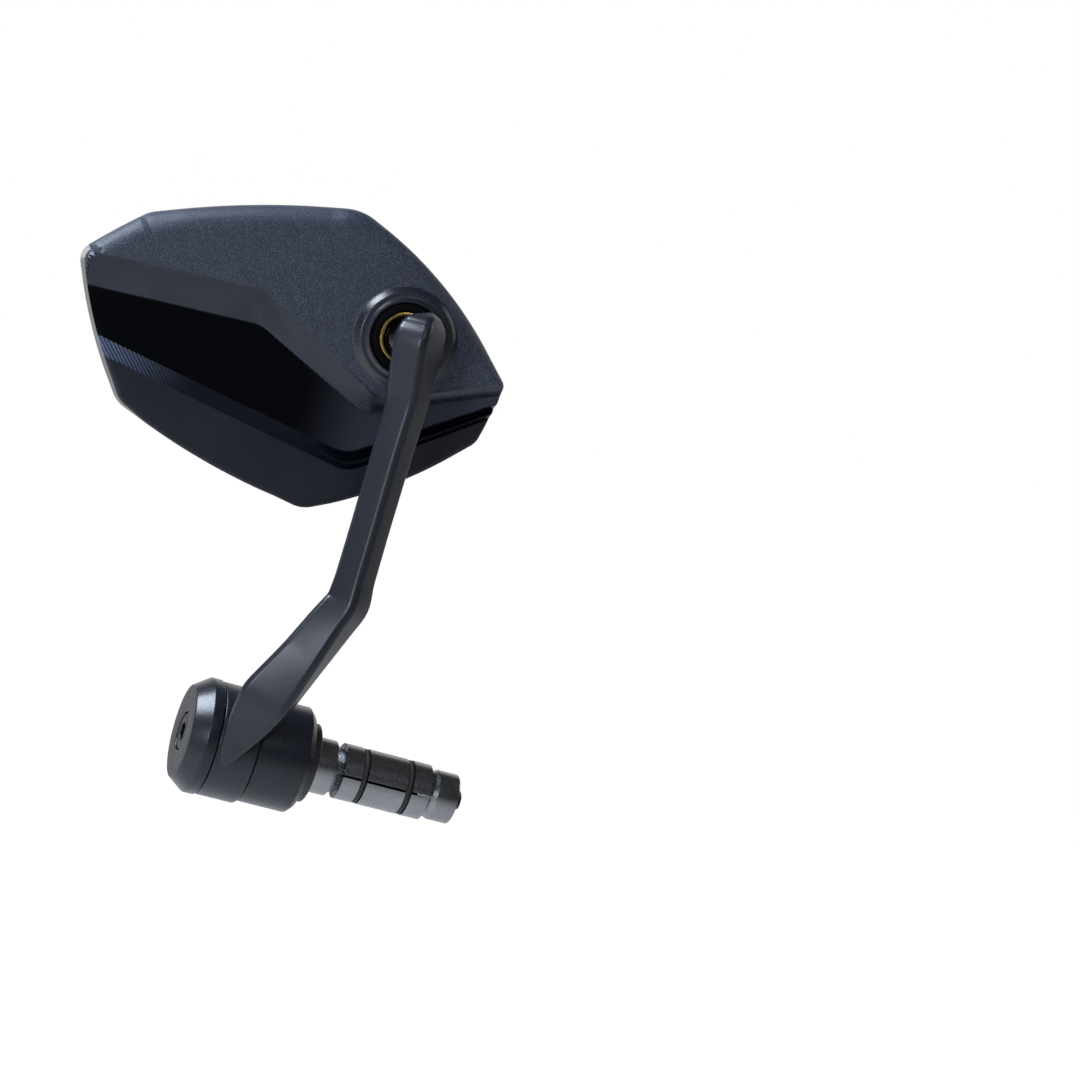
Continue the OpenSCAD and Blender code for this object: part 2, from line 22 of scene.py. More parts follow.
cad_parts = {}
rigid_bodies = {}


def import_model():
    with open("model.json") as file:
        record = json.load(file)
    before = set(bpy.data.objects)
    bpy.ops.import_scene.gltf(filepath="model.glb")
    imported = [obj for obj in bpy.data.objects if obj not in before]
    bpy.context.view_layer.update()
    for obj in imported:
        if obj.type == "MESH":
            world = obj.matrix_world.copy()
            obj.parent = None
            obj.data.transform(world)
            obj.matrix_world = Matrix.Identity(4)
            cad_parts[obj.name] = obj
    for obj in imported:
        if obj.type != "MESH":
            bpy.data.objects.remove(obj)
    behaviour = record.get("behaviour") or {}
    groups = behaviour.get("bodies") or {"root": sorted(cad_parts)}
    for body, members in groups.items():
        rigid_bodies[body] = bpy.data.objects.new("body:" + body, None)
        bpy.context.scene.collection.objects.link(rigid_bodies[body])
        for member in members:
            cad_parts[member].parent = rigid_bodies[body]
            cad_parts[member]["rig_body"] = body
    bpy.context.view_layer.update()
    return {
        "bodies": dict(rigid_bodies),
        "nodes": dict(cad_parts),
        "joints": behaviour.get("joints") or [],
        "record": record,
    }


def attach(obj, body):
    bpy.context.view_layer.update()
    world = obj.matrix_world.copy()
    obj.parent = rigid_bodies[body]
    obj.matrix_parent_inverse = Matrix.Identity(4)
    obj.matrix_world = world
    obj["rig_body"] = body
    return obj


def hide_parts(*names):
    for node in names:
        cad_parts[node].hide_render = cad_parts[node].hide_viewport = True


MM = 0.001
SAME_POINT = 1e-5
SHORTEST_SIDE = 1e-6
SHARPEST_HALF = math.radians(2)
WIDEST_HALF = math.radians(89.9)
SLOT_MARK = "finish_slot"
LOG = logging.getLogger("bar_end_mirror")
Feed = Union[float, bpy.types.NodeSocket]


class Axis(Enum):
    """Direction that a piece is drawn along."""

    BAR = "bar"
    STUB = "stub"
    HEAD = "head"
    ROW = "row"


class Edge(Enum):
    """Angle in degrees from which the faces of a mesh meet in a hard edge."""

    MILLED = 13.0
    CRISP = 28.0


class Fill(Enum):
    """Part of the plane that a triangulation covers."""

    HULL = 0
    INSIDE = 1


@dataclass(frozen=True)
class Corner:
    """One corner of a turned profile.

    Args:
        along: place along the axis, in millimetres.
        radius: distance from the axis, in millimetres.
        soft: radius of the rounding put on the corner.
    """

    along: float
    radius: float
    soft: float = 0.0


def arc_between(before: Vector, corner: Vector, after: Vector, radius: float, steps: int,
                share: float = 0.49) -> list[Vector]:
    """Rounds one corner of an outline.

    Args:
        before: the corner before it.
        corner: the corner itself.
        after: the corner after it.
        radius: rounding radius, limited by the two sides.
        steps: number of pieces of the arc.
        share: most of each side that the rounding may take.

    Returns:
        The points of the arc, or the corner alone where there is nothing to round.
    """
    a, c = before - corner, after - corner
    if radius <= 0 or min(a.length, c.length) < SHORTEST_SIDE:
        return [corner]
    u, v = a.normalized(), c.normalized()
    half = math.acos(max(-1.0, min(1.0, u.dot(v)))) / 2
    if not SHARPEST_HALF <= half <= WIDEST_HALF:
        return [corner]
    cut = min(radius / math.tan(half), share * a.length, share * c.length)
    radius = cut * math.tan(half)
    mid = corner + (u + v).normalized() * radius / math.sin(half)
    start, end = corner + u * cut - mid, corner + v * cut - mid
    turn = math.atan2(start.x * end.y - start.y * end.x, start.dot(end))
    points = []
    for i in range(steps + 1):
        t = turn * i / steps
        cos_t, sin_t = math.cos(t), math.sin(t)
        points.append(mid + Vector((start.x * cos_t - start.y * sin_t, start.x * sin_t + start.y * cos_t)))
    return points


def smooth(x: np.ndarray | float) -> np.ndarray | float:
    """Eases from 0 to 1 as x goes from 0 to 1."""
    x = np.clip(x, 0.0, 1.0)
    return x * x * (3 - 2 * x)


def rounded(depth: np.ndarray, radius: np.ndarray | float) -> np.ndarray:
    """Gives how far a rounded edge falls away at a depth inward of it."""
    inner = np.clip((radius - depth) / radius, 0, 1)
    return radius * (1 - np.sqrt(1 - inner ** 2))


def unit(rows: np.ndarray) -> np.ndarray:
    """Brings rows of x, y to length 1."""
    return rows / np.hypot(*rows.T)[:, None]


def wheel(count: int) -> np.ndarray:
    """Gives the points of a circle of radius 1 as rows of x, y."""
    angle = np.linspace(0, 2 * math.pi, count, endpoint=False)
    return np.column_stack([np.cos(angle), np.sin(angle)])


def raised(flat: np.ndarray, height: np.ndarray | float) -> np.ndarray:
    """Adds z to rows of x, y: one height for all of them or one for each."""
    return np.column_stack([flat, np.broadcast_to(height, len(flat))])


def triangulate(points: np.ndarray, edges: Sequence[tuple[int, int]],
                fill: Fill) -> tuple[np.ndarray, np.ndarray]:
    """Triangulates points in a plane round the edges to keep.

    Args:
        points: rows of across, up.
        edges: pairs of points that stay joined.
        fill: part of the plane that is covered.

    Returns:
        The points used, as rows of across, up, and the triangles between them.
    """
    flat = [Vector(p) for p in points.tolist()]
    verts, _, tris, *_ = delaunay_2d_cdt(flat, edges, [], fill.value, SAME_POINT)
    return np.array([tuple(v) for v in verts]), np.array([t for t in tris if len(t) == 3])


@dataclass(frozen=True)
class Frame:
    """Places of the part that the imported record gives, in metres and radians."""

    ball: Vector
    head_turn: float

    @classmethod
    def read(cls, record: dict[str, Any]) -> "Frame":
        """Reads the ball's centre and the head's turn from the record's joints.

        Args:
            record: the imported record.

        Returns:
            The places found.
        """
        spin = next(j for j in record["behaviour"]["joints"] if j["name"] == "head_spin")
        axis = spin["axis"]
        return cls(Vector(spin["pos_m"]), math.atan2(axis[0], axis[1]))

    def matrix(self, axis: Axis) -> Matrix:
        """Gives the placing of a piece drawn in millimetres.

        Args:
            axis: what its z axis lies along.

        Returns:
            The matrix into the row frame.
        """
        scale = Matrix.Scale(MM, 4)
        if axis is Axis.ROW:
            return scale
        if axis is Axis.BAR:
            return Matrix.Rotation(math.pi / 2, 4, "Y") @ scale
        turn = Matrix.Rotation(-self.head_turn if axis is Axis.HEAD else 0.0, 4, "Z")
        return Matrix.Translation(self.ball) @ turn @ Matrix.Rotation(math.pi / 2, 4, "X") @ scale


class Build:
    """Vertices and faces of one piece, gathered in millimetres."""

    WELD = 2e-7
    SLIVER = 1e-7
    ROUND_STEPS = 6

    def __init__(self, place: Matrix) -> None:
        """Starts an empty piece.

        Args:
            place: the piece's placing in the row frame.
        """
        self.place = np.array(place)
        self.points: list[np.ndarray] = []
        self.count = 0
        self.faces: list[Sequence[int]] = []
        self.slots: list[int] = []

    def add(self, points: np.ndarray, faces: Sequence[Sequence[int]], slots: int | Sequence[int] = 0) -> None:
        """Adds points and the faces between them.

        Args:
            points: rows of x, y, z.
            faces: their faces, counted from the first of these points.
            slots: one material slot, or one for each face.
        """
        base = self.count
        self.points.append(np.asarray(points, float))
        self.count += len(points)
        self.faces += [[base + i for i in face] for face in faces]
        self.slots += [slots] * len(faces) if isinstance(slots, int) else list(slots)

    def skin(self, rings: np.ndarray, slot: int = 0, caps: bool = False) -> None:
        """Joins a row of closed rings with faces.

        Args:
            rings: array of rings by points by x, y, z.
            slot: their material slot.
            caps: whether the first and last ring are closed.
        """
        k, n = rings.shape[:2]
        faces = [(i * n + j, i * n + (j + 1) % n, (i + 1) * n + (j + 1) % n, (i + 1) * n + j)
                 for i in range(k - 1) for j in range(n)]
        if caps:
            faces += [tuple(range(n))[::-1], tuple((k - 1) * n + j for j in range(n))]
        self.add(rings.reshape(-1, 3), faces, slot)

    def turn(self, corners: Sequence[Corner], segments: int = 144) -> None:
        """Turns a closed profile about z.

        Args:
            corners: corners of the profile in order.
            segments: number of steps round the axis.
        """
        pts = [Vector((c.along, c.radius)) for c in corners]
        profile: list[Vector] = []
        for i, c in enumerate(corners):
            profile += arc_between(pts[i - 1], pts[i], pts[(i + 1) % len(pts)], c.soft, self.ROUND_STEPS)
        circle = wheel(segments)
        self.skin(np.array([raised(circle * p.y, p.x) for p in [*profile, profile[0]]]))

    def piece(self, name: str, edge: Edge = Edge.CRISP) -> bpy.types.Object:
        """Makes the mesh object, welded and with its normals outward.

        Args:
            name: the piece's name.
            edge: how hard its edges are shaded.

        Returns:
            The new object, linked to the scene.
        """
        points = np.vstack(self.points)
        placed = points @ self.place[:3, :3].T + self.place[:3, 3]
        mesh = bpy.data.meshes.new(name)
        mesh.from_pydata(placed.tolist(), [], self.faces)
        mesh.attributes.new(SLOT_MARK, "INT", "FACE").data.foreach_set("value", self.slots)
        work = bmesh.new()
        work.from_mesh(mesh)
        bmesh.ops.remove_doubles(work, verts=work.verts, dist=self.WELD)
        bmesh.ops.dissolve_degenerate(work, edges=work.edges, dist=self.SLIVER)
        bmesh.ops.recalc_face_normals(work, faces=work.faces)
        work.to_mesh(mesh)
        work.free()
        mesh.shade_smooth()
        mesh.set_sharp_from_angle(angle=math.radians(edge.value))
        made = bpy.data.objects.new(name, mesh)
        bpy.context.scene.collection.objects.link(made)
        LOG.info("%s: %d faces", name, len(mesh.polygons))
        return made


class Wiring:
    """Nodes of one shader tree and the links between them."""

    def __init__(self, tree: bpy.types.NodeTree) -> None:
        """Keeps the tree."""
        self.tree = tree

    def fill(self, node: bpy.types.Node, values: dict[str | int, Any]) -> None:
        """Gives a node's inputs their values.

        Args:
            node: the node.
            values: for each input a plain value to set or a socket to link.
        """
        for key, value in values.items():
            if isinstance(value, bpy.types.NodeSocket):
                self.tree.links.new(value, node.inputs[key])
            else:
                node.inputs[key].default_value = value

    def add(self, kind: str, values: dict[str | int, Any] | None = None, **settings: Any) -> bpy.types.Node:
        """Adds a node.

        Args:
            kind: the node's type.
            values: values or sockets for its inputs.
            settings: its properties.

        Returns:
            The new node.
        """
        node = self.tree.nodes.new(kind)
        for key, value in settings.items():
            setattr(node, key, value)
        self.fill(node, values or {})
        return node

    def maths(self, operation: str, *values: Feed) -> bpy.types.NodeSocket:
        """Adds a Math node on sockets and numbers and gives its result."""
        return self.add("ShaderNodeMath", dict(enumerate(values)), operation=operation).outputs[0]

    def ramp(self, value: Feed, low: Feed = 0.0, high: Feed = 1.0, ends: tuple[float, float] = (0.0, 1.0),
             eased: bool = True) -> bpy.types.NodeSocket:
        """Adds a Map Range node.

        Args:
            value: what it maps.
            low: value that gives the first end.
            high: value that gives the second end.
            ends: the two ends of the result.
            eased: whether the result is eased at both ends.

        Returns:
            The result's socket.
        """
        values = {"Value": value, "From Min": low, "From Max": high, "To Min": ends[0], "To Max": ends[1]}
        shape = "SMOOTHSTEP" if eased else "LINEAR"
        return self.add("ShaderNodeMapRange", values, interpolation_type=shape).outputs["Result"]


class EffectGroup(Wiring):
    """A shader node group with named inputs that gives a Height, a Tone mask and a Wear mask."""

    RESULTS = ("Height", "Tone", "Wear")

    def __init__(self, name: str, inputs: dict[str, float]) -> None:
        """Makes the group and its sockets.

        Args:
            name: the group's name.
            inputs: its number inputs and their defaults, besides the vector.
        """
        super().__init__(bpy.data.node_groups.new(name, "ShaderNodeTree"))
        face = self.tree.interface
        face.new_socket("Vector", in_out="INPUT", socket_type="NodeSocketVector")
        for key, value in inputs.items():
            face.new_socket(key, in_out="INPUT", socket_type="NodeSocketFloat").default_value = value
        for key in self.RESULTS:
            face.new_socket(key, in_out="OUTPUT", socket_type="NodeSocketFloat")
        self.given = self.add("NodeGroupInput").outputs

    def noise(self, scale: Feed, detail: float = 2.0) -> bpy.types.NodeSocket:
        """Adds a noise on the group's vector and gives its value."""
        values = {"Vector": self.given["Vector"], "Scale": scale, "Detail": detail}
        return self.add("ShaderNodeTexNoise", values).outputs["Fac"]

    def split(self) -> Sequence[bpy.types.NodeSocket]:
        """Splits the group's vector into x, y and z."""
        return self.add("ShaderNodeSeparateXYZ", {0: self.given["Vector"]}).outputs

    def stripes(self, place: Feed) -> bpy.types.NodeSocket:
        """Gives a wave from -1 to 1 over places measured along, one for each of the group's Pitch."""
        turns = self.maths("DIVIDE", place, self.given["Pitch"])
        return self.maths("SINE", self.maths("MULTIPLY", turns, 2 * math.pi))

    def close(self, *results: Feed) -> bpy.types.NodeTree:
        """Leads the three results out and gives the group's tree."""
        self.add("NodeGroupOutput", dict(zip(self.RESULTS, results)))
        return self.tree


class Relief(Enum):
    """Which shared effect gives a finish its fine relief."""

    GRAIN = "grain"
    COAT = "coat"
    RINGS = "rings"
    CUTS = "cuts"


class Effects:
    """The part's shared surface effects, one node group each."""

    def __init__(self) -> None:
        """Builds every effect once."""
        self.trees = {Relief.GRAIN: self._grain(), Relief.COAT: self._coat(), Relief.RINGS: self._rings(),
                      Relief.CUTS: self._cuts()}

    def _grain(self) -> bpy.types.NodeTree:
        """Builds the fine blasted grain, with slow change of tone.

        Returns:
            The group's tree.
        """
        g = EffectGroup("blasted grain", {"Scale": 2500.0})
        fine = g.noise(g.given["Scale"], 3.0)
        return g.close(fine, g.ramp(g.noise(60.0), 0.35, 0.7), g.ramp(fine, 0.3, 0.75))

    def _coat(self) -> bpy.types.NodeTree:
        """Builds the wrinkled powder coat, with painted glints: its crests are painted lighter in patches.

        Returns:
            The group's tree.
        """
        g = EffectGroup("powder coat with painted glints", {"Scale": 2400.0})
        scale = g.given["Scale"]
        folds = g.maths("ABSOLUTE", g.maths("MULTIPLY_ADD", g.noise(scale), 6.0, -3.0))
        crest = g.maths("SUBTRACT", 1.0, folds)
        patch = g.ramp(g.noise(g.maths("MULTIPLY", scale, 0.7), 1.0), 0.4, 0.62)
        # painted glint: the base colour turns lighter on the wrinkle crests, in patches, in place of the
        # light that they catch
        painted_glint = g.maths("MULTIPLY", g.ramp(crest, 0.35, 0.95), patch)
        return g.close(crest, painted_glint, g.ramp(g.noise(45.0), 0.3, 0.7))

    def _rings(self) -> bpy.types.NodeTree:
        """Builds the turning marks along and round a piece on the bar axis.

        Returns:
            The group's tree.
        """
        g = EffectGroup("turning rings", {"Pitch": 0.00016})
        x, y, z = g.split()
        out = g.maths("SQRT", g.maths("ADD", g.maths("MULTIPLY", y, y), g.maths("MULTIPLY", z, z)))
        marks = g.stripes(g.maths("ADD", x, out))
        return g.close(marks, g.ramp(g.noise(50.0), 0.35, 0.7), g.ramp(g.noise(1800.0), 0.3, 0.7))

    def _cuts(self) -> bpy.types.NodeTree:
        """Builds the passes of the cutter that lean across a milled floor, and a painted sheen that lightens
        them towards its vee.

        Returns:
            The group's tree.
        """
        g = EffectGroup("cutter passes with painted sheen", {"Pitch": 0.00055, "Lean": 0.8, "Start": -0.03, "End": -0.01})
        x, _, z = g.split()
        marks = g.stripes(g.maths("ADD", g.maths("MULTIPLY", x, g.given["Lean"]), z))
        # painted sheen: the passes' colour turns lighter between Start and End across, in place of the
        # reflection on them
        light = g.ramp(x, g.given["Start"], g.given["End"])
        tone = g.maths("MULTIPLY", light, g.maths("MULTIPLY_ADD", marks, 0.45, 0.55))
        return g.close(marks, tone, g.ramp(g.noise(900.0), 0.3, 0.7))


@dataclass(frozen=True)
class Finish:
    """One surface finish of the part.

    Args:
        name: the material's name.
        colour: linear base colour.
        roughness: least and most roughness, by the effect's Wear.
        metallic: share of bare metal.
        relief: effect that gives the fine relief.
        sizes: the effect's own values.
        depth: depth of the relief in metres.
        tint: colour where the effect's Tone is full, or none for a slightly lighter base colour; under the
            coat this is painted glint, under the cutter passes painted sheen.
        gloss: level of mirror-like reflection.
    """

    MIX_FACTOR = 0
    MIX_FIRST = 6
    MIX_SECOND = 7
    MIX_COLOUR = 2
    LIGHTER = 1.18

    name: str
    colour: tuple[float, float, float]
    roughness: tuple[float, float]
    metallic: float = 0.0
    relief: Relief = Relief.GRAIN
    sizes: dict[str, float] = field(default_factory=dict)
    depth: float = 4e-6
    tint: tuple[float, float, float] | None = None
    gloss: float = 0.5

    def build(self, effects: Effects) -> bpy.types.Material:
        """Makes the material.

        Args:
            effects: the shared effects.

        Returns:
            The new material.
        """
        material = bpy.data.materials.new(self.name)
        material.use_nodes = True
        wires = Wiring(material.node_tree)
        place = wires.add("ShaderNodeTexCoord").outputs["Object"]
        effect = wires.add("ShaderNodeGroup", {"Vector": place, **self.sizes},
                           node_tree=effects.trees[self.relief]).outputs
        bump = wires.add("ShaderNodeBump", {"Strength": 1.0, "Distance": self.depth,
                                            "Height": effect["Height"]})
        tint = self.tint or tuple(self.LIGHTER * c for c in self.colour)
        colours = {self.MIX_FIRST: (*self.colour, 1.0), self.MIX_SECOND: (*tint, 1.0)}
        mix = wires.add("ShaderNodeMix", {self.MIX_FACTOR: effect["Tone"], **colours}, data_type="RGBA")
        wires.fill(wires.tree.nodes["Principled BSDF"], {
            "Base Color": mix.outputs[self.MIX_COLOUR],
            "Roughness": wires.ramp(effect["Wear"], ends=self.roughness, eased=False),
            "Metallic": self.metallic,
            "Specular IOR Level": self.gloss,
            "Normal": bump.outputs["Normal"],
        })
        return material


FINISHES = {
    f.name: f
    for f in (
        # bluish tint: colour of the painted glints on the coat's crests
        Finish("textured black", (0.004, 0.006, 0.013), (0.34, 0.44), relief=Relief.COAT,
               sizes={"Scale": 6500.0}, depth=2e-5, tint=(0.1, 0.125, 0.2), gloss=0.4),
        Finish("boss black", (0.009, 0.011, 0.018), (0.26, 0.32), sizes={"Scale": 2600.0}, depth=8e-6),
        Finish("ribbed bevel", (0.014, 0.0175, 0.028), (0.2, 0.28), 0.3, sizes={"Scale": 4000.0}, depth=1e-6,
               tint=(0.022, 0.026, 0.038), gloss=0.4),
        # grey tint: painted reflection, in stripes along the cutter passes and lighter towards the vee
        Finish("milled floor", (0.0008, 0.001, 0.0022), (0.3, 0.36), relief=Relief.CUTS,
               sizes={"Pitch": 0.0006, "Lean": -0.8, "Start": -0.032, "End": -0.002}, depth=1e-6,
               tint=(0.065, 0.073, 0.1), gloss=0.05),
        # bluish tint: painted reflection; the stripes follow the real cutter marks, and their light colour
        # rises towards the outboard end
        Finish("lower bevel", (0.002, 0.003, 0.007), (0.2, 0.26), relief=Relief.CUTS,
               sizes={"Pitch": 0.0011, "Lean": 1.0, "Start": -0.058, "End": -0.1}, depth=1e-6,
               tint=(0.16, 0.21, 0.33), gloss=0.05),
        Finish("lower face", (0.0085, 0.01, 0.016), (0.45, 0.55), sizes={"Scale": 3000.0}, depth=9e-6,
               tint=(0.0105, 0.012, 0.019), gloss=0.2),
        Finish("side wall", (0.035, 0.037, 0.045), (0.16, 0.22), sizes={"Scale": 3000.0}, depth=1e-6,
               gloss=1.0),
        Finish("arm grey", (0.012, 0.0145, 0.022), (0.3, 0.36), 0.2, sizes={"Scale": 4200.0}, depth=3e-6,
               tint=(0.0155, 0.018, 0.027), gloss=0.45),
        Finish("turned black", (0.01, 0.012, 0.018), (0.26, 0.32), 0.15, Relief.RINGS, {"Pitch": 0.00022},
               4e-7, gloss=0.4),
        Finish("matt ring", (0.0015, 0.0015, 0.002), (0.4, 0.5), gloss=0.1),
        Finish("black screw", (0.012, 0.012, 0.014), (0.25, 0.35), 0.5),
        Finish("zinc steel", (0.2, 0.205, 0.215), (0.26, 0.34), 1.0, Relief.RINGS, {"Pitch": 0.0004}, 2e-7),
        Finish("dark ball", (0.05, 0.05, 0.055), (0.1, 0.16), 1.0, sizes={"Scale": 1500.0}, depth=2e-7),
        Finish("brass", (0.9, 0.6, 0.2), (0.2, 0.28), 1.0, sizes={"Scale": 900.0}, depth=8e-7,
               tint=(0.85, 0.52, 0.17)),
        Finish("bronze", (0.5, 0.33, 0.14), (0.4, 0.5), 1.0, sizes={"Scale": 3000.0},
               tint=(0.42, 0.27, 0.11)),
        Finish("bearing plastic", (0.02, 0.02, 0.022), (0.45, 0.55)),
        Finish("collar plastic", (0.008, 0.008, 0.009), (0.4, 0.5), sizes={"Scale": 1500.0}, depth=6e-6),
        Finish("rubber", (0.012, 0.012, 0.012), (0.65, 0.75), depth=1e-5),
        Finish("foam", (0.02, 0.02, 0.02), (0.85, 0.95), sizes={"Scale": 3000.0}, depth=4e-5),
        Finish("silvered glass", (0.84, 0.88, 0.9), (0.008, 0.014), 1.0, sizes={"Scale": 8.0}, depth=0.0,
               tint=(0.85, 0.89, 0.91)),
        Finish("glass edge", (0.05, 0.09, 0.08), (0.2, 0.3), sizes={"Scale": 3000.0}, depth=5e-6),
    )
}


class Fitter:
    """Dresses pieces and ties them to the frame."""

    def __init__(self, frame: dict[str, Any]) -> None:
        """Keeps the frame and builds the shared effects.
        """
        self.nodes = frame["nodes"]
        self.place = Frame.read(frame["record"])
        self.effects = Effects()
        self.made: dict[str, bpy.types.Material] = {}

    def material(self, name: str) -> bpy.types.Material:
        """Gives a finish's material, made at its first use."""
        if name not in self.made:
            self.made[name] = FINISHES[name].build(self.effects)
        return self.made[name]

    def dress(self, piece: bpy.types.Object, *names: str) -> None:
        """Gives a piece its finishes.

        Args:
            piece: the piece.
            names: its finishes, one for each of its slots.
        """
        mesh = piece.data
        mesh.materials.clear()
        for name in names:
            mesh.materials.append(self.material(name))
        if SLOT_MARK in mesh.attributes:
            marks = np.zeros(len(mesh.polygons), np.int32)
            mesh.attributes[SLOT_MARK].data.foreach_get("value", marks)
            mesh.polygons.foreach_set("material_index", marks)

    def stand_in(self, piece: bpy.types.Object, node: str, slot: str, *names: str) -> None:
        """Dresses a piece and puts it in a node's place.

        Args:
            piece: the piece made here.
            node: the node that it stands for.
            slot: the record's material slot of its finish; not used.
            names: its finishes, one for each of its own slots.
        """
        self.dress(piece, *names)
        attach(piece, self.nodes[node]["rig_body"])
        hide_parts(node)

    def turned(self, axis: Axis, corners: Sequence[Corner], names: tuple[str, str, str, str]) -> None:
        """Turns a profile and puts the piece in a node's place.

        Args:
            axis: what the profile is turned about.
            corners: corners of the profile in order.
            names: the piece, its node, the record's slot and the finish.
        """
        name, node, slot, finish = names
        build = Build(self.place.matrix(axis))
        build.turn(corners)
        self.stand_in(build.piece(name), node, slot, finish)


@dataclass(frozen=True)
class OutlineCorner:
    """One corner of the head's outline.

    Args:
        across: place inboard of the ball.
        up: place above the ball.
        fillet: radius of the corner.
        bow: rise of the side that follows it.
        roll: radius that the upper face rolls over with here.
        draft: how far the back lies inside the rim here.
    """

    across: float
    up: float
    fillet: float
    bow: float
    roll: float
    draft: float = 0.0


class Outline:
    """The wider rim's outline and the back's inside it, as fine closed rings with their normals."""

    BOW_SHARE = 0.7
    STEP = 0.45
    ARC_STEPS = 18
    SIDE_SHARE = 0.99
    BATCH = 4000

    def __init__(self, corners: Sequence[OutlineCorner]) -> None:
        """Rounds and bows the corners into the rim, and draws the back inside it.

        Args:
            corners: the rim's corners in order.
        """
        marks: list[tuple[Vector, float, float, float]] = []
        for i, a in enumerate(corners):
            b = corners[(i + 1) % len(corners)]
            p, q = Vector((a.across, a.up)), Vector((b.across, b.up))
            half = (q - p).length / 2
            way = (q - p).normalized()
            out = a.bow * 2 / (2 - self.BOW_SHARE)
            radius = self.BOW_SHARE * half * math.hypot(half, out) / out
            marks.append((p, a.fillet, a.roll, a.draft))
            marks.append(((p + q) / 2 + Vector((-way.y, way.x)) * out, radius, (a.roll + b.roll) / 2,
                          math.sqrt(a.draft * b.draft)))
        rows: list[tuple[float, float, float, float]] = []
        for i, (p, radius, roll, draft) in enumerate(marks):
            arc = arc_between(marks[i - 1][0], p, marks[(i + 1) % len(marks)][0], radius, self.ARC_STEPS,
                              self.SIDE_SHARE)
            rows += [(q.x, q.y, roll, draft) for q in arc]
        ring = np.array(rows)
        dense = []
        for p, q in zip(ring, np.roll(ring, -1, axis=0)):
            pieces = max(1, int(np.hypot(*(q - p)[:2]) / self.STEP))
            dense += [p + (q - p) * k / pieces for k in range(pieces)]
        self.rim = np.array(dense)[:, :2]
        self.roll = np.array(dense)[:, 2]
        self.rim_normal = self.normals(self.rim)
        self.ring = self.rim - self.rim_normal * np.array(dense)[:, 3:]
        self.normal = self.normals(self.ring)

    @staticmethod
    def normals(ring: np.ndarray) -> np.ndarray:
        """Gives the outward normals of a closed ring."""
        along = np.roll(ring, -1, axis=0) - np.roll(ring, 1, axis=0)
        return unit(np.column_stack([-along[:, 1], along[:, 0]]))

    def match(self, points: np.ndarray) -> tuple[np.ndarray, np.ndarray, np.ndarray]:
        """Finds the nearest place of the back's ring for each point.

        Args:
            points: rows of across, up.

        Returns:
            The side of the ring that it is on, its share of that side and the way from it to the point.
        """
        start, way = self.ring, np.roll(self.ring, -1, axis=0) - self.ring
        found = []
        for first in range(0, len(points), self.BATCH):
            from_start = points[first:first + self.BATCH, None, :] - start[None]
            share = np.clip((from_start * way[None]).sum(2) / (way ** 2).sum(1)[None], 0, 1)
            gap = from_start - share[..., None] * way[None]
            side = (gap ** 2).sum(2).argmin(1)
            row = np.arange(len(side))
            found.append((side, share[row, side], gap[row, side]))
        side, share, gap = (np.concatenate(part) for part in zip(*found))
        return side, share, gap

    @staticmethod
    def blend(values: np.ndarray, side: np.ndarray, share: np.ndarray) -> np.ndarray:
        """Blends a ring's values along the matched sides."""
        after = values[(side + 1) % len(values)]
        return (values[side].T * (1 - share) + after.T * share).T

    def flare(self, points: np.ndarray) -> tuple[np.ndarray, np.ndarray]:
        """Gives the rim's place and normal that belong to points on the back's ring."""
        side, share, _ = self.match(points)
        return self.blend(self.rim, side, share), unit(self.blend(self.rim_normal, side, share))

    def nearest(self, points: np.ndarray) -> tuple[np.ndarray, np.ndarray]:
        """Measures points against the nearest place of the back's ring.

        Args:
            points: rows of across, up.

        Returns:
            Distance inward of it (less than 0 outside) and the roll radius there.
        """
        side, share, gap = self.match(points)
        normal = unit(self.blend(self.normal, side, share))
        depth = -np.sign((gap * normal).sum(1)) * np.sqrt((gap ** 2).sum(1))
        return depth, self.blend(self.roll, side, share)

    def depth(self, points: np.ndarray) -> np.ndarray:
        """Gives how far inward of the back's ring the points lie."""
        return self.nearest(points)[0]


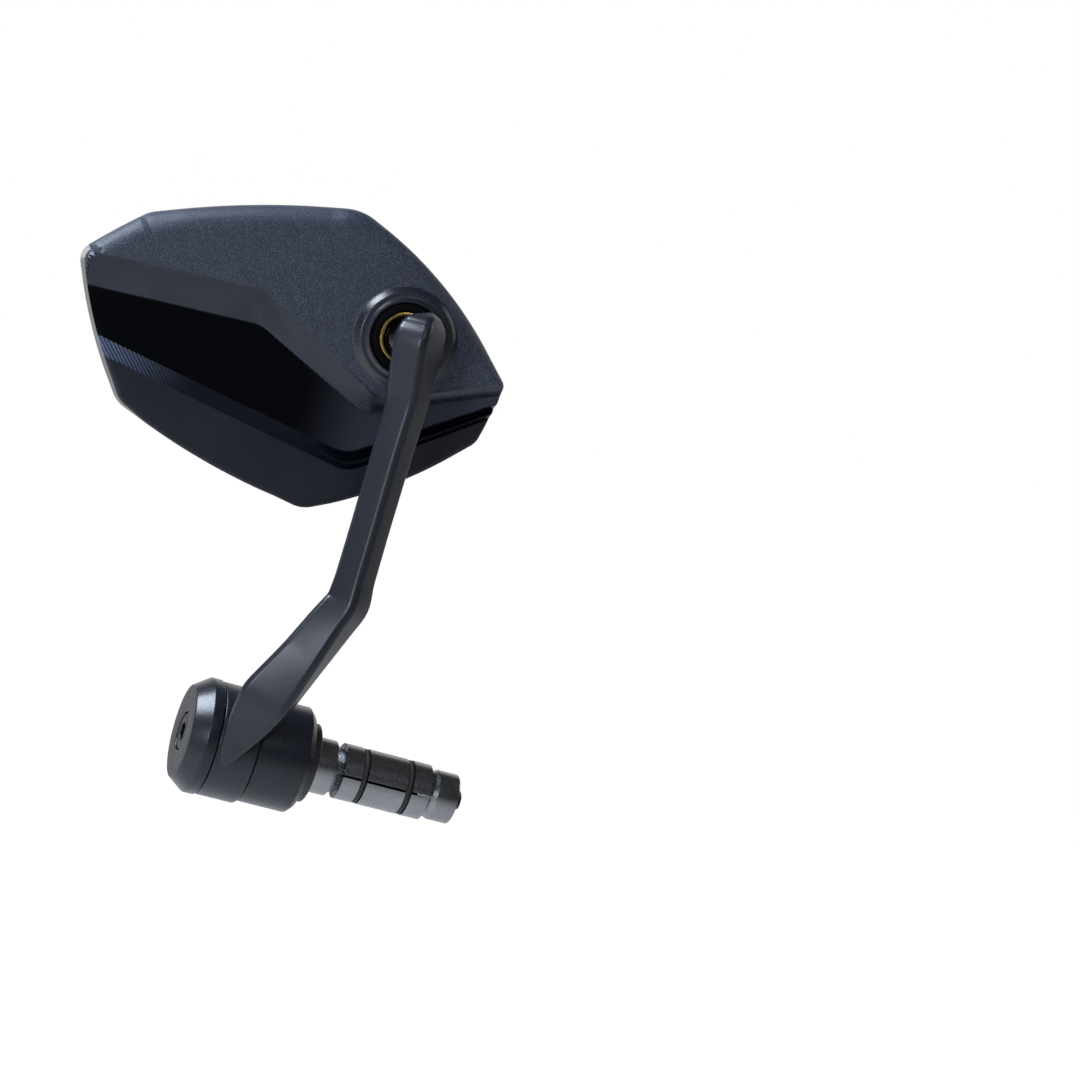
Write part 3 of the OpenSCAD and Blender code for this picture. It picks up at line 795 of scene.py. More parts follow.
@dataclass
class MilledBevel:
    """Sloped strip from a ridge down to a foot, cut in slanting passes.

    Args:
        ridge: heights up the head of the ridge at the tip end, knee, vee and nose end.
        foot: the same of the foot.
        knees: places across of the knee on the ridge and on the foot.
        vees: the same of the vee.
        ends: places across of the two ends.
        rib: depth of each pass.
        teeth: length of the teeth that the passes leave at the foot, outboard and in the middle.
        rows: shares of the strip where it has a row of points.
        cuts: columns in each pass.
        pitch: width of a pass along the sum of across and up.
        line_round: radius of the two lines at the knee and the vee.
        reach: least and most sum of across and up that the columns cover.
        knee_ease: where the teeth begin to grow and are full, from the knee.
        vee_ease: where they begin to shrink and are short again, from the vee.
    """

    LINE_STEPS = 24
    TABLE_SIZE = 4000
    RIDGE_FADE = 0.05
    FOOT_FADE = 0.03

    ridge: tuple[float, float, float, float]
    foot: tuple[float, float, float, float]
    knees: tuple[float, float]
    vees: tuple[float, float]
    ends: tuple[float, float]
    rib: float
    teeth: tuple[float, float]
    rows: tuple[float, ...]
    cuts: int
    pitch: float = 0.877
    line_round: float = 9.0
    reach: tuple[float, float] = (-118.0, 32.0)
    knee_ease: tuple[float, float] = (-6.0, 4.0)
    vee_ease: tuple[float, float] = (-3.0, 3.0)

    def __post_init__(self) -> None:
        """Works out where each slanting column crosses the ridge and the foot."""
        self.columns_at = np.linspace(self.ends[0] - 30, self.ends[1] + 20, self.TABLE_SIZE)
        self.ridge_across = self._line(self.ridge, self.knees[0], self.vees[0])
        self.foot_across = self._line(self.foot, self.knees[1], self.vees[1])

    def _line(self, heights: tuple[float, float, float, float], knee: float, vee: float) -> np.ndarray:
        """Lays the ridge or the foot through its four heights.

        Args:
            heights: its heights up the head.
            knee: place across of its knee.
            vee: place across of its vee.

        Returns:
            The place across where each column of the table crosses it.
        """
        p = [Vector(place) for place in zip((self.ends[0], knee, vee, self.ends[1]), heights)]
        line = [p[0], *arc_between(p[0], p[1], p[2], self.line_round, self.LINE_STEPS),
                *arc_between(p[1], p[2], p[3], self.line_round, self.LINE_STEPS), p[3]]
        across, up = np.array([tuple(q) for q in line]).T
        return np.interp(self.columns_at, across + up, across)

    def phase(self, s: np.ndarray) -> np.ndarray:
        """Gives how far through its pass each column is."""
        return np.mod(s / self.pitch, 1.0)

    def span(self, s: np.ndarray) -> tuple[np.ndarray, np.ndarray]:
        """Finds where columns run.

        Args:
            s: the sum of across and up of each column.

        Returns:
            Their places across at the ridge and at the toothed foot.
        """
        top = np.interp(s, self.columns_at, self.ridge_across)
        low = np.interp(s, self.columns_at, self.foot_across)
        places = [self.knees[0] + d for d in self.knee_ease] + [self.vees[0] + d for d in self.vee_ease]
        size = np.interp(top, places, [self.teeth[0], self.teeth[1], self.teeth[1], self.teeth[0]])
        return top, low + size * (1 - np.abs(2 * self.phase(s) - 1)) * math.sqrt(0.5)

    def share(self, p: np.ndarray) -> np.ndarray:
        """Gives how far down the strip each point is: under 0 above it and over 1 below it."""
        top, low = self.span(p[:, 0] + p[:, 1])
        return (p[:, 0] - top) / (low - top)

    def relief(self, p: np.ndarray, share: np.ndarray) -> np.ndarray:
        """Gives the depth cut by the passes.

        Args:
            p: points across and up.
            share: how far down the strip each is.

        Returns:
            The depth at each point, none at the two lines.
        """
        phase = self.phase(p[:, 0] + p[:, 1])
        inside = smooth(share / self.RIDGE_FADE) * smooth((1 - share) / self.FOOT_FADE)
        return self.rib * 4 * phase * (1 - phase) * inside

    def columns(self) -> tuple[np.ndarray, list[tuple[int, int]]]:
        """Lays the strip's points, column by column.

        Returns:
            The points across and up, and the edges to keep between them.
        """
        first = math.floor(self.reach[0] / self.pitch) * self.pitch
        s = np.arange(first, self.reach[1], self.pitch / self.cuts)
        top, foot = self.span(s)
        across = top[:, None] + np.array(self.rows)[None] * (foot - top)[:, None]
        points = np.stack([across, s[:, None] - across], axis=2).reshape(-1, 2)
        k = len(self.rows)
        edges = [(i * k + j, i * k + j + 1) for i in range(len(s)) for j in range(k - 1)]
        edges += [(i * k + j, (i + 1) * k + j) for i in range(len(s) - 1) for j in (0, k - 1)]
        return points, edges


class Zone(Enum):
    """Zones of the housing by their finishes, in the order of its material slots."""

    UPPER = "textured black"
    RIBS = "ribbed bevel"
    FLOOR = "milled floor"
    LOWER_RIBS = "lower bevel"
    LOWER = "lower face"
    WALL = "side wall"
    BOSS = "boss black"
    INSIDE = "matt ring"

    @property
    def slot(self) -> int:
        """Gives the zone's material slot."""
        return list(Zone).index(self)


@dataclass
class HeadHousing:
    """Milled head with its terraces, ribbed bevels, boss and glass recess, in millimetres.

    Args:
        corners: corners of the outline.
        upper: height of the upper face.
        floor: height of the floor below the upper bevel.
        lower_round: radius of the lower face's outer edge.
        floor_round: radius of the outer edge above the lower bevel.
        rim: depth of the rim below the ball's centre.
        rim_soft: radius of the rim's outer edge.
        rim_w: width of the rim.
        rim_lip: rounding of the rim's inner edge.
        recess: depth of the bottom of the glass recess.
        bore: radius of the bore's mouth.
        bore_round: radius of its edge.
        boss_foot: radius of the boss.
        boss_steps: outer radius, run and rise of each of the boss's steps.
        boss_top: height of the boss.
        seat: height of the retaining ring's seat.
        cavity: radius of the ball's cavity.
        ends: places across of the two ends of the bevels.
        lip: places across where the lip inboard of the vee begins and is full.
    """

    SHOULDER_RINGS = 10
    ABOVE_RIDGE = -0.02
    BELOW_FOOT = 1.06
    OWN_SIDE = 0.96
    OVERHANG = 2.5
    BORE_STEPS = 168
    BOSS_RINGS = (9.76, 9.84, 9.92, 10.0, 10.2, 10.5, 10.8, 11.1, 11.4, 11.8, 12.1, 12.4, 12.8, 13.2, 13.6,
                  14.0, 14.4)
    PLAIN_FALL = (0, .16, .45, .78, 1.1, 1.42, 1.72, 2.0, 2.3, 2.62, 3.02, 3.34, 3.5)
    LIPPED_FALL = (0, .12, .8, 2.5, 3.3, 3.3, 2.35, 1.75, 1.7, 2.1, 3.2, 3.75, 3.5)

    corners: tuple[OutlineCorner, ...] = (
        OutlineCorner(-90.3, -2.4, 4.6, 0.3, 4.0, 1.3),
        OutlineCorner(-75.0, 13.0, 10.0, 1.6, 7.0),
        OutlineCorner(-20.5, 30.0, 14.0, 4.1, 5.0),
        OutlineCorner(29.6, -4.5, 2.4, 0.6, 2.2),
        OutlineCorner(27.3, -22.0, 6.0, 2.4, 2.0),
        OutlineCorner(-13.0, -52.7, 9.0, 2.2, 2.0, 0.2),
        OutlineCorner(-69.3, -39.0, 8.5, 1.6, 3.0, 1.0),
    )
    upper: float = 5.5
    floor: float = 2.0
    lower_round: float = 1.6
    floor_round: float = 0.35
    rim: float = 14.2
    rim_soft: float = 0.6
    rim_w: float = 2.2
    rim_lip: float = 0.3
    recess: float = 10.4
    bore: float = 9.7
    bore_round: float = 0.3
    boss_foot: float = 14.4
    boss_steps: tuple[tuple[float, float, float], ...] = ((14.4, 2.5, 1.65), (11.3, 1.2, 0.65))
    boss_top: float = 7.8
    seat: float = 3.7
    cavity: float = 8.92
    ends: tuple[float, float] = (-130.0, 69.6)
    lip: tuple[float, float] = (-15.0, -3.0)

    def __post_init__(self) -> None:
        """Builds the outline and the two bevels."""
        self.outline = Outline(self.corners)
        self.upper_bevel = MilledBevel(
            (-4.8, 2.0, -17.8, 13.5), (-12.8, -7.4, -22.5, 10.4), (-40.0, -38.5), (-2.0, -5.0), self.ends,
            0.12, (0.6, 1.5), (0, .04, .1, .2, .32, .44, .56, .68, .8, .9, .97, 1), 8)
        self.lower_bevel = MilledBevel(
            (-13.9, -29.0, -34.4, 17.8), (-18.3, -33.4, -39.3, 16.0), (-40.0, -40.0), (-6.5, -4.5), self.ends,
            0.1, (0.3, 0.4), (0, .07, .15, .24, .33, .42, .5, .58, .66, .75, .86, .95, 1), 6)

    def boss(self, p: np.ndarray) -> np.ndarray:
        """Gives the height of the boss above the upper face.

        Args:
            p: points across and up.

        Returns:
            The height at each point, less the rounding of the bore's edge.
        """
        out = np.hypot(*p.T)
        rise = sum(tall * smooth((foot - out) / run) for foot, run, tall in self.boss_steps)
        full = sum(tall for *_, tall in self.boss_steps)
        return rise * ((self.boss_top - self.upper) / full) - rounded(out - self.bore, self.bore_round)

    def lower_fall(self, share: np.ndarray, across: np.ndarray) -> np.ndarray:
        """Gives the fall down the lower bevel, which gains a groove and a lip inboard of the vee.

        Args:
            share: how far down the bevel each point is, from 0 to 1.
            across: place across of each point.

        Returns:
            The fall at each point.
        """
        rows = self.lower_bevel.rows
        mix = smooth((across - self.lip[0]) / (self.lip[1] - self.lip[0]))
        plain, lipped = (np.interp(share, rows, fall) for fall in (self.PLAIN_FALL, self.LIPPED_FALL))
        return plain * (1 - mix) + lipped * mix

    def height(self, p: np.ndarray) -> np.ndarray:
        """Gives the height of the back's surface.

        Args:
            p: points across and up.

        Returns:
            The height at each point.
        """
        depth, roll = self.outline.nearest(p)
        depth = np.clip(depth, 0, None)
        high = np.clip(self.upper_bevel.share(p), 0, 1)
        low = np.clip(self.lower_bevel.share(p), 0, 1)
        face = self.upper + (self.floor - self.upper) * high - self.upper_bevel.relief(p, high)
        face = face - self.lower_fall(low, p[:, 0]) - self.lower_bevel.relief(p, low)
        face = face - rounded(depth, self.floor_round + (self.lower_round - self.floor_round) * low)
        return np.minimum(face, self.upper - rounded(depth, roll)) + self.boss(p)

    def shoulder_points(self) -> np.ndarray:
        """Lays points in rings inward of the outline, closer where the edge is steeper.

        Returns:
            The points across and up.
        """
        o = self.outline
        found = []
        for part in range(1, self.SHOULDER_RINGS + 1):
            turn = 1 - math.cos(math.radians(90 / self.SHOULDER_RINGS * part))
            for on_upper, radius in ((True, o.roll), (False, np.full(len(o.roll), self.lower_round))):
                p = o.ring - o.normal * (radius * turn)[:, None]
                fits = (self.upper_bevel.share(p) < self.ABOVE_RIDGE if on_upper
                        else self.lower_bevel.share(p) > self.BELOW_FOOT)
                clear = np.hypot(*p.T) > self.boss_foot + 0.2
                found.append(p[fits & clear & (o.depth(p) > self.OWN_SIDE * radius * turn)])
        return np.vstack(found)

    def back_mesh(self) -> tuple[np.ndarray, np.ndarray]:
        """Meshes the whole back between its outline and the bore.

        Returns:
            Its points across and up, and its triangles.
        """
        n, ring = len(self.outline.ring), self.BORE_STEPS
        circle = wheel(ring)
        groups = [self.outline.ring, *(circle * radius for radius in (self.bore, *self.BOSS_RINGS)),
                  self.shoulder_points()]
        edges = [(i, (i + 1) % n) for i in range(n)]
        edges += [(n + i, n + (i + 1) % ring) for i in range(ring)]
        count = sum(len(g) for g in groups)
        for bevel in (self.upper_bevel, self.lower_bevel):
            points, wanted = bevel.columns()
            keep = self.outline.depth(points) > -self.OVERHANG
            index = np.cumsum(keep) - 1 + count
            groups.append(points[keep])
            edges += [(int(index[a]), int(index[b])) for a, b in wanted if keep[a] and keep[b]]
            count += int(keep.sum())
        spots, faces = triangulate(np.vstack(groups), edges, Fill.HULL)
        mid = spots[faces].mean(axis=1)
        inside = self.outline.depth(mid) > 0
        faces = faces[inside & (np.hypot(*mid.T) > self.bore * math.cos(math.pi / ring))]
        used, places = np.unique(faces, return_inverse=True)
        return spots[used], places.reshape(-1, 3)

    @staticmethod
    def loops(faces: np.ndarray) -> list[list[int]]:
        """Walks the open edges of a triangle mesh into closed loops.

        Args:
            faces: its triangles.

        Returns:
            The loops' points, the longest loop first.
        """
        half = {(int(a), int(b)) for f in faces for a, b in zip(f, np.roll(f, -1))}
        follow = {a: b for a, b in half if (b, a) not in half}
        found = []
        while follow:
            start, at = follow.popitem()
            loop = [start]
            while at != start and at in follow:
                loop.append(at)
                at = follow.pop(at)
            found.append(loop)
        return sorted(found, key=len, reverse=True)

    def slots(self, mid: np.ndarray) -> list[int]:
        """Sorts the back's triangles into its zones.

        Args:
            mid: middles of the triangles.

        Returns:
            The material slot of each.
        """
        high, low = self.upper_bevel.share(mid), self.lower_bevel.share(mid)
        slot = np.full(len(mid), Zone.UPPER.slot)
        for zone, inside in ((Zone.RIBS, high > 0), (Zone.FLOOR, high > 1), (Zone.LOWER_RIBS, low > 0),
                             (Zone.LOWER, low > 1), (Zone.BOSS, np.hypot(*mid.T) < self.boss_foot - 0.5)):
            slot[inside] = zone.slot
        return slot.tolist()

    def build(self, fitter: Fitter) -> None:
        """Builds and dresses the housing.

        Args:
            fitter: what dresses it and ties it to the frame.
        """
        build = Build(fitter.place.matrix(Axis.HEAD))
        spots, faces = self.back_mesh()
        tall = self.height(spots)
        build.add(raised(spots, tall), faces.tolist(), self.slots(spots[faces].mean(axis=1)))
        outer, inner = self.loops(faces)[:2]
        self.add_wall(build, spots[outer], tall[outer])
        self.add_bore(build, spots[inner], tall[inner])
        piece = build.piece("milled_housing", Edge.MILLED)
        fitter.stand_in(piece, "mirror_housing", "textured_black", *(zone.value for zone in Zone))

    def add_wall(self, build: Build, edge: np.ndarray, tall: np.ndarray) -> None:
        """Adds the side wall, which flares to the rim, and the glass recess.

        Args:
            build: the housing's mesh.
            edge: the back's outer edge, across and up.
            tall: its heights.
        """
        place, normal = self.outline.flare(edge)
        soft, lip = self.rim_soft, self.rim_lip
        inset = [(0.0, soft - self.rim)]
        inset += [(soft * (1 - math.cos(a)), -self.rim + soft * (1 - math.sin(a)))
                  for a in np.linspace(0.2, math.pi / 2, 6)]
        inset += [(self.rim_w - lip, -self.rim), (self.rim_w - 0.3 * lip, -self.rim + 0.3 * lip),
                  (self.rim_w, -self.rim + lip), (self.rim_w, -self.recess)]
        rings = [raised(edge, tall), *(raised(place - normal * inward, level) for inward, level in inset)]
        build.skin(np.array(rings), Zone.WALL.slot)
        build.add(rings[-1], [tuple(range(len(edge)))], Zone.INSIDE.slot)

    def add_bore(self, build: Build, mouth: np.ndarray, tall: np.ndarray) -> None:
        """Adds the stepped bore and the round seat for the ball behind the boss.

        Args:
            build: the housing's mesh.
            mouth: the edge of the bore, across and up.
            tall: its heights.
        """
        way = unit(mouth)
        steps = [(self.bore, self.seat), (self.cavity, self.seat), (self.cavity, 0.0)]
        steps += [(self.cavity * math.cos(a), -self.cavity * math.sin(a)) for a in np.linspace(0.15, 1.5, 10)]
        rings = [raised(mouth, tall), *(raised(way * radius, level) for radius, level in steps)]
        build.skin(np.array(rings), Zone.INSIDE.slot)
        build.add(rings[-1], [tuple(range(len(mouth)))], Zone.INSIDE.slot)


@dataclass
class MirrorGlass:
    """Silvered convex glass, in millimetres.

    Args:
        inset: gap from the rim's outline to its edge.
        back: depth of its back.
        thick: its thickness in the middle.
        bulge: radius of its reflecting side.
        middle: place across and up of its middle.
        bevel: width of its bevelled edge.
        grid: first and last place across, and first and last place up, of its inner points.
        grid_step: distance between them.
    """

    inset: float = 2.45
    back: float = 11.2
    thick: float = 2.8
    bulge: float = 1400.0
    middle: tuple[float, float] = (-30.2, -11.35)
    bevel: float = 0.35
    grid: tuple[float, float, float, float] = (-90.0, 30.0, -54.0, 32.0)
    grid_step: float = 4.0

    def build(self, housing: HeadHousing, fitter: Fitter) -> None:
        """Builds and dresses the glass.

        Args:
            housing: the housing that it lies in.
            fitter: what dresses it and ties it to the frame.
        """
        o = housing.outline
        edge = o.rim - o.rim_normal * self.inset
        inner = o.rim - o.rim_normal * (self.inset + self.bevel)
        left, right, low, high = self.grid
        grid = np.array([(x, y) for x in np.arange(left, right, self.grid_step)
                         for y in np.arange(low, high, self.grid_step)])
        grid = grid[o.depth(grid) > self.inset + self.bevel + 1.0]
        n = len(inner)
        face, tris = triangulate(np.vstack([inner, grid]), [(i, (i + 1) % n) for i in range(n)], Fill.INSIDE)
        build = Build(fitter.place.matrix(Axis.HEAD))
        build.add(raised(face, self.front(face)), tris.tolist(), 0)
        walls = [raised(inner, self.front(inner)), raised(edge, self.front(edge) + self.bevel),
                 raised(edge, -self.back)]
        build.skin(np.array(walls), 1)
        build.add(walls[-1], [tuple(range(n))], 1)
        piece = build.piece("convex_glass", Edge.MILLED)
        fitter.stand_in(piece, "mirror_glass", "mirror", "silvered glass", "glass edge")

    def front(self, p: np.ndarray) -> np.ndarray:
        """Gives the height of the glass's reflecting side."""
        out = np.hypot(p[:, 0] - self.middle[0], p[:, 1] - self.middle[1])
        return out ** 2 / (2 * self.bulge) - self.back - self.thick


@dataclass(frozen=True)
class Station:
    """One cross section of the arm's blade.

    Args:
        centre: x, y and z of its middle.
        half_w: half its width.
        half_d: half its depth.
        turn: turn of its flat face, in degrees.
    """

    centre: tuple[float, float, float]
    half_w: float
    half_d: float
    turn: float


@dataclass
class ForgedArm:
    """Arm forged with its hub and its eye, in millimetres.

    Args:
        hub_x: inboard face of the hub.
        hub_l: length of the hub.
        hub_r: radius of the hub.
        bush_r: radius of the hole for the bush.
        washer_r: radius of the recesses for the friction washers.
        washer_sink: depth of those recesses.
        arm_y: how far the blade stands in front of the bar's axis.
        blade_x: place of the upper blade along the bar.
        eye_x: place of the eye along the bar.
        blade_w: width of the upper blade.
        blade_t: depth of the upper blade.
        foot_w: width of the foot.
        eye_r: half the depth of the eye.
        bend_z: height of the bend.
        ball_z: height of the ball.
        blade_turn: turn of the upper blade's flat face, in degrees.
        foot_turn: the same of the foot.
        soft: radius of the blade's edges.
        corner_steps: pieces of each rounded edge.
        slices: rings along the blade.
        ease: length over which each bend is eased.
        stub: two ends of the sleeve round the stud, from the ball's centre.
        stub_bore: its inner radius.
        stub_r: its outer radius.
    """

    CROWN = 8
    CROWN_SLICES = 30
    EASE_WEIGHTS = (1, 2, 3, 4, 5, 4, 3, 2, 1)
    LEAST_HALF = 0.3
    ROUND_SHARE = 0.92
    HUB_SEGMENTS = 192

    hub_x: float = -18.0
    hub_l: float = 11.2
    hub_r: float = 15.7
    bush_r: float = 9.5
    washer_r: float = 12.65
    washer_sink: float = 0.7
    arm_y: float = -19.5
    blade_x: float = -7.05
    eye_x: float = -8.9
    blade_w: float = 8.8
    blade_t: float = 8.8
    foot_w: float = 13.0
    eye_r: float = 7.2
    bend_z: float = 48.0
    ball_z: float = 119.0
    blade_turn: float = 43.0
    foot_turn: float = 25.0
    soft: float = 1.9
    corner_steps: int = 14
    slices: int = 170
    ease: float = 2.6
    stub: tuple[float, float] = (11.2, 18.0)
    stub_bore: float = 3.05
    stub_r: float = 5.1

    def stations(self) -> list[Station]:
        """Lays the blade's cross sections.

        Returns:
            The sections in order from the hub to the top of the eye.
        """
        mid, y, x, eye, top = self.hub_x - self.hub_l / 2, self.arm_y, self.blade_x, self.eye_x, self.ball_z
        foot, half, deep, turn = self.foot_w / 2, self.blade_w / 2, self.blade_t / 2, self.foot_turn
        full, r, rise = self.blade_turn, self.eye_r, self.bend_z
        return [
            Station((mid - 4.4, y + 7.6, -8), 1.2, 1.2, turn - 12),
            Station((mid - 3.4, y + 6.4, -4.5), 1.9, 1.8, turn - 10),
            Station((mid - 2.2, y + 5.6, -1), 3.0, 2.6, turn - 8),
            Station((mid - 0.6, y + 4.9, 4), 4.5, 3.2, turn - 6),
            Station((mid + 1.1, y + 3.6, 9.5), 5.9, 3.9, turn - 4),
            Station((mid + 3.0, y + 1.9, 16.2), foot + 0.6, deep + 0.1, turn - 1),
            Station((mid + 9.3, y + 0.9, 30), foot - 0.7, deep + 1.1, turn + 4),
            Station((x - 2.5, y + 0.8, rise - 7.2), foot - 1.4, deep + 1.2, full - 6),
            Station((x + 0.2, y + 0.4, rise - 1.4), half + 0.4, deep + 0.9, full - 2),
            Station((x, y, rise + 5), half + 0.05, deep + 0.1, full),
            Station((x, y, rise + 20), half, deep, full),
            Station((x, y, top - 30), half, deep + 0.2, full),
            Station((x + 0.1, y, top - 16), half + 0.2, deep + 0.6, full - 2),
            Station(((x + eye) / 2 + 0.1, y, top - 8), half + 0.4, r - 1.1, full - 4),
            Station((eye + 0.4, y, top), half + 0.5, r, full - 5),
            Station((eye + 0.4, y, top + r * 0.56), half + 0.4, r * 0.866, full - 5),
            Station((eye + 0.3, y, top + r * 0.84), half - 0.1, r * 0.68, full - 5),
            Station((eye + 0.2, y, top + r * 1.0), half - 0.9, r * 0.48, full - 5),
            Station((eye + 0.1, y, top + r * 1.09), half - 2.0, r * 0.28, full - 5),
            Station((eye, y, top + r * 1.13), half - 3.2, r * 0.13, full - 5),
        ]

    def sections(self) -> np.ndarray:
        """Runs straight flanks with eased bends through the stations.

        Returns:
            The rings of the blade's skin.
        """
        marks = np.array([(*s.centre, s.half_w, s.half_d, s.turn) for s in self.stations()])
        gap = np.linalg.norm(np.diff(marks[:, :3], axis=0), axis=1)
        at = np.concatenate([[0], np.cumsum(gap)])
        way = np.linspace(0, at[-1], self.slices)
        crown = at[-1] - np.linspace(0, self.CROWN, self.CROWN_SLICES) ** 2 / self.CROWN
        way = np.sort(np.concatenate([way, crown]))
        ease = np.minimum(self.ease, np.minimum(way, at[-1] - way))
        near = [np.column_stack([np.interp(way + ease * q, at, m) for m in marks.T])
                for q in np.linspace(-1, 1, len(self.EASE_WEIGHTS))]
        weight = np.array(self.EASE_WEIGHTS) / sum(self.EASE_WEIGHTS)
        rows = sum(w * n for w, n in zip(weight, near))
        rings = []
        for i, row in enumerate(rows):
            ahead = rows[min(i + 1, len(rows) - 1), :3] - rows[max(i - 1, 0), :3]
            along = Vector(ahead).normalized()
            turn = math.radians(row[5])
            side = along.cross(Vector((-math.sin(turn), -math.cos(turn), 0))).normalized()
            rings.append(self.section(row, side, side.cross(along)))
        return np.array(rings)

    def section(self, row: np.ndarray, side: Vector, out: Vector) -> np.ndarray:
        """Draws one rounded rectangle about a place of the blade.

        Args:
            row: x, y and z of its middle, half its width and half its depth.
            side: the way that its width runs.
            out: the way that its depth runs.

        Returns:
            Its ring of points.
        """
        a, b = max(row[3], self.LEAST_HALF), max(row[4], self.LEAST_HALF)
        r = min(self.soft, self.ROUND_SHARE * a, self.ROUND_SHARE * b)
        points = []
        for q, (sx, sy) in enumerate(((1, 1), (-1, 1), (-1, -1), (1, -1))):
            for i in range(self.corner_steps + 1):
                t = math.pi / 2 * (q + i / self.corner_steps)
                p = side * (sx * (a - r) + r * math.cos(t)) + out * (sy * (b - r) + r * math.sin(t))
                points.append(row[:3] + np.array(p))
        return np.array(points)

    def build(self, fitter: Fitter) -> None:
        """Builds and dresses the arm as one forging.

        Args:
            fitter: what dresses it and ties it to the frame.
        """
        build = Build(fitter.place.matrix(Axis.ROW))
        build.skin(self.sections(), caps=True)
        blade = build.piece("arm_forging")
        cap, end, sink = self.hub_x - self.hub_l, self.hub_x, self.washer_sink
        hub = Build(fitter.place.matrix(Axis.BAR))
        hub.turn([
            Corner(cap + sink, self.bush_r), Corner(cap + sink, self.washer_r),
            Corner(cap, self.washer_r, 0.15), Corner(cap, self.hub_r, 0.7),
            Corner(end, self.hub_r, 0.7), Corner(end, self.washer_r, 0.15),
            Corner(end - sink, self.washer_r), Corner(end - sink, self.bush_r)], self.HUB_SEGMENTS)
        stub = Build(fitter.place.matrix(Axis.STUB))
        start, stop = self.stub
        stub.turn([Corner(start, self.stub_bore), Corner(start, self.stub_r, 0.7), Corner(stop, self.stub_r),
                   Corner(stop, self.stub_bore)])
        parts = [blade, hub.piece("arm_hub"), stub.piece("arm_stub")]
        fitter.stand_in(parts[0], "arm", "anodised_grey", "arm grey")
        for part in parts[1:]:
            fitter.dress(part, "arm grey")
            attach(part, "arm")


@dataclass
class BallJoint:
    """Ball stud, brass seat ring and retaining ring, in millimetres.

    Args:
        ball_r: radius of the ball.
        neck_r: radius of the stud's neck.
        neck_end: where the neck ends, from the ball's centre.
        stud_r: radius of the stud beyond it.
        stud_end: where the stud ends.
        play: gap between the ball and its seat.
        seat: back, step and face of the seat ring.
        seat_r: outer radius, collar radius and mouth radius of the seat ring.
        seat_lip: where its bowl meets its mouth.
        nut: back and face of the retaining ring.
        nut_r: its inner and outer radius.
    """

    ball_r: float = 7.5
    neck_r: float = 3.9
    neck_end: float = 11.2
    stud_r: float = 3.0
    stud_end: float = 20.0
    play: float = 0.06
    seat: tuple[float, float, float] = (1.5, 3.2, 5.6)
    seat_r: tuple[float, float, float] = (8.86, 7.2, 6.0)
    seat_lip: float = 4.59
    nut: tuple[float, float] = (3.7, 6.4)
    nut_r: tuple[float, float] = (7.26, 9.65)

    def build(self, fitter: Fitter) -> None:
        """Builds and dresses the joint's turned pieces.

        Args:
            fitter: what dresses them and ties them to the frame.
        """
        lean = math.asin(self.neck_r / self.ball_r)
        ball = [Corner(-self.ball_r * math.cos(a), self.ball_r * math.sin(a))
                for a in np.linspace(0.001, math.pi - lean, 40)]
        fitter.turned(Axis.STUB, [
            *ball, Corner(self.neck_end, self.neck_r, 0.3), Corner(self.neck_end, self.stud_r),
            Corner(self.stud_end, self.stud_r, 0.5), Corner(self.stud_end, 0.001),
        ], ("ground_ball", "ball_stud", "ball_steel", "dark ball"))
        back, step, face = self.seat
        outer, collar, mouth = self.seat_r
        bowl = self.ball_r + self.play
        rise = [Corner(z, math.sqrt(bowl ** 2 - z ** 2)) for z in np.linspace(self.seat_lip, back, 10)]
        fitter.turned(Axis.HEAD, [
            Corner(back, outer), Corner(step, outer, 0.2), Corner(step, collar), Corner(face, collar, 0.35),
            Corner(face, mouth, 0.5), *rise,
        ], ("seat_ring_turned", "brass_seat_ring", "brass", "brass"))
        back, face = self.nut
        inner, outer = self.nut_r
        fitter.turned(Axis.HEAD, [
            Corner(back, inner), Corner(back, outer), Corner(face, outer, 0.35), Corner(face, inner, 0.35),
        ], ("retaining_ring_turned", "retaining_ring", "ring_black", "matt ring"))


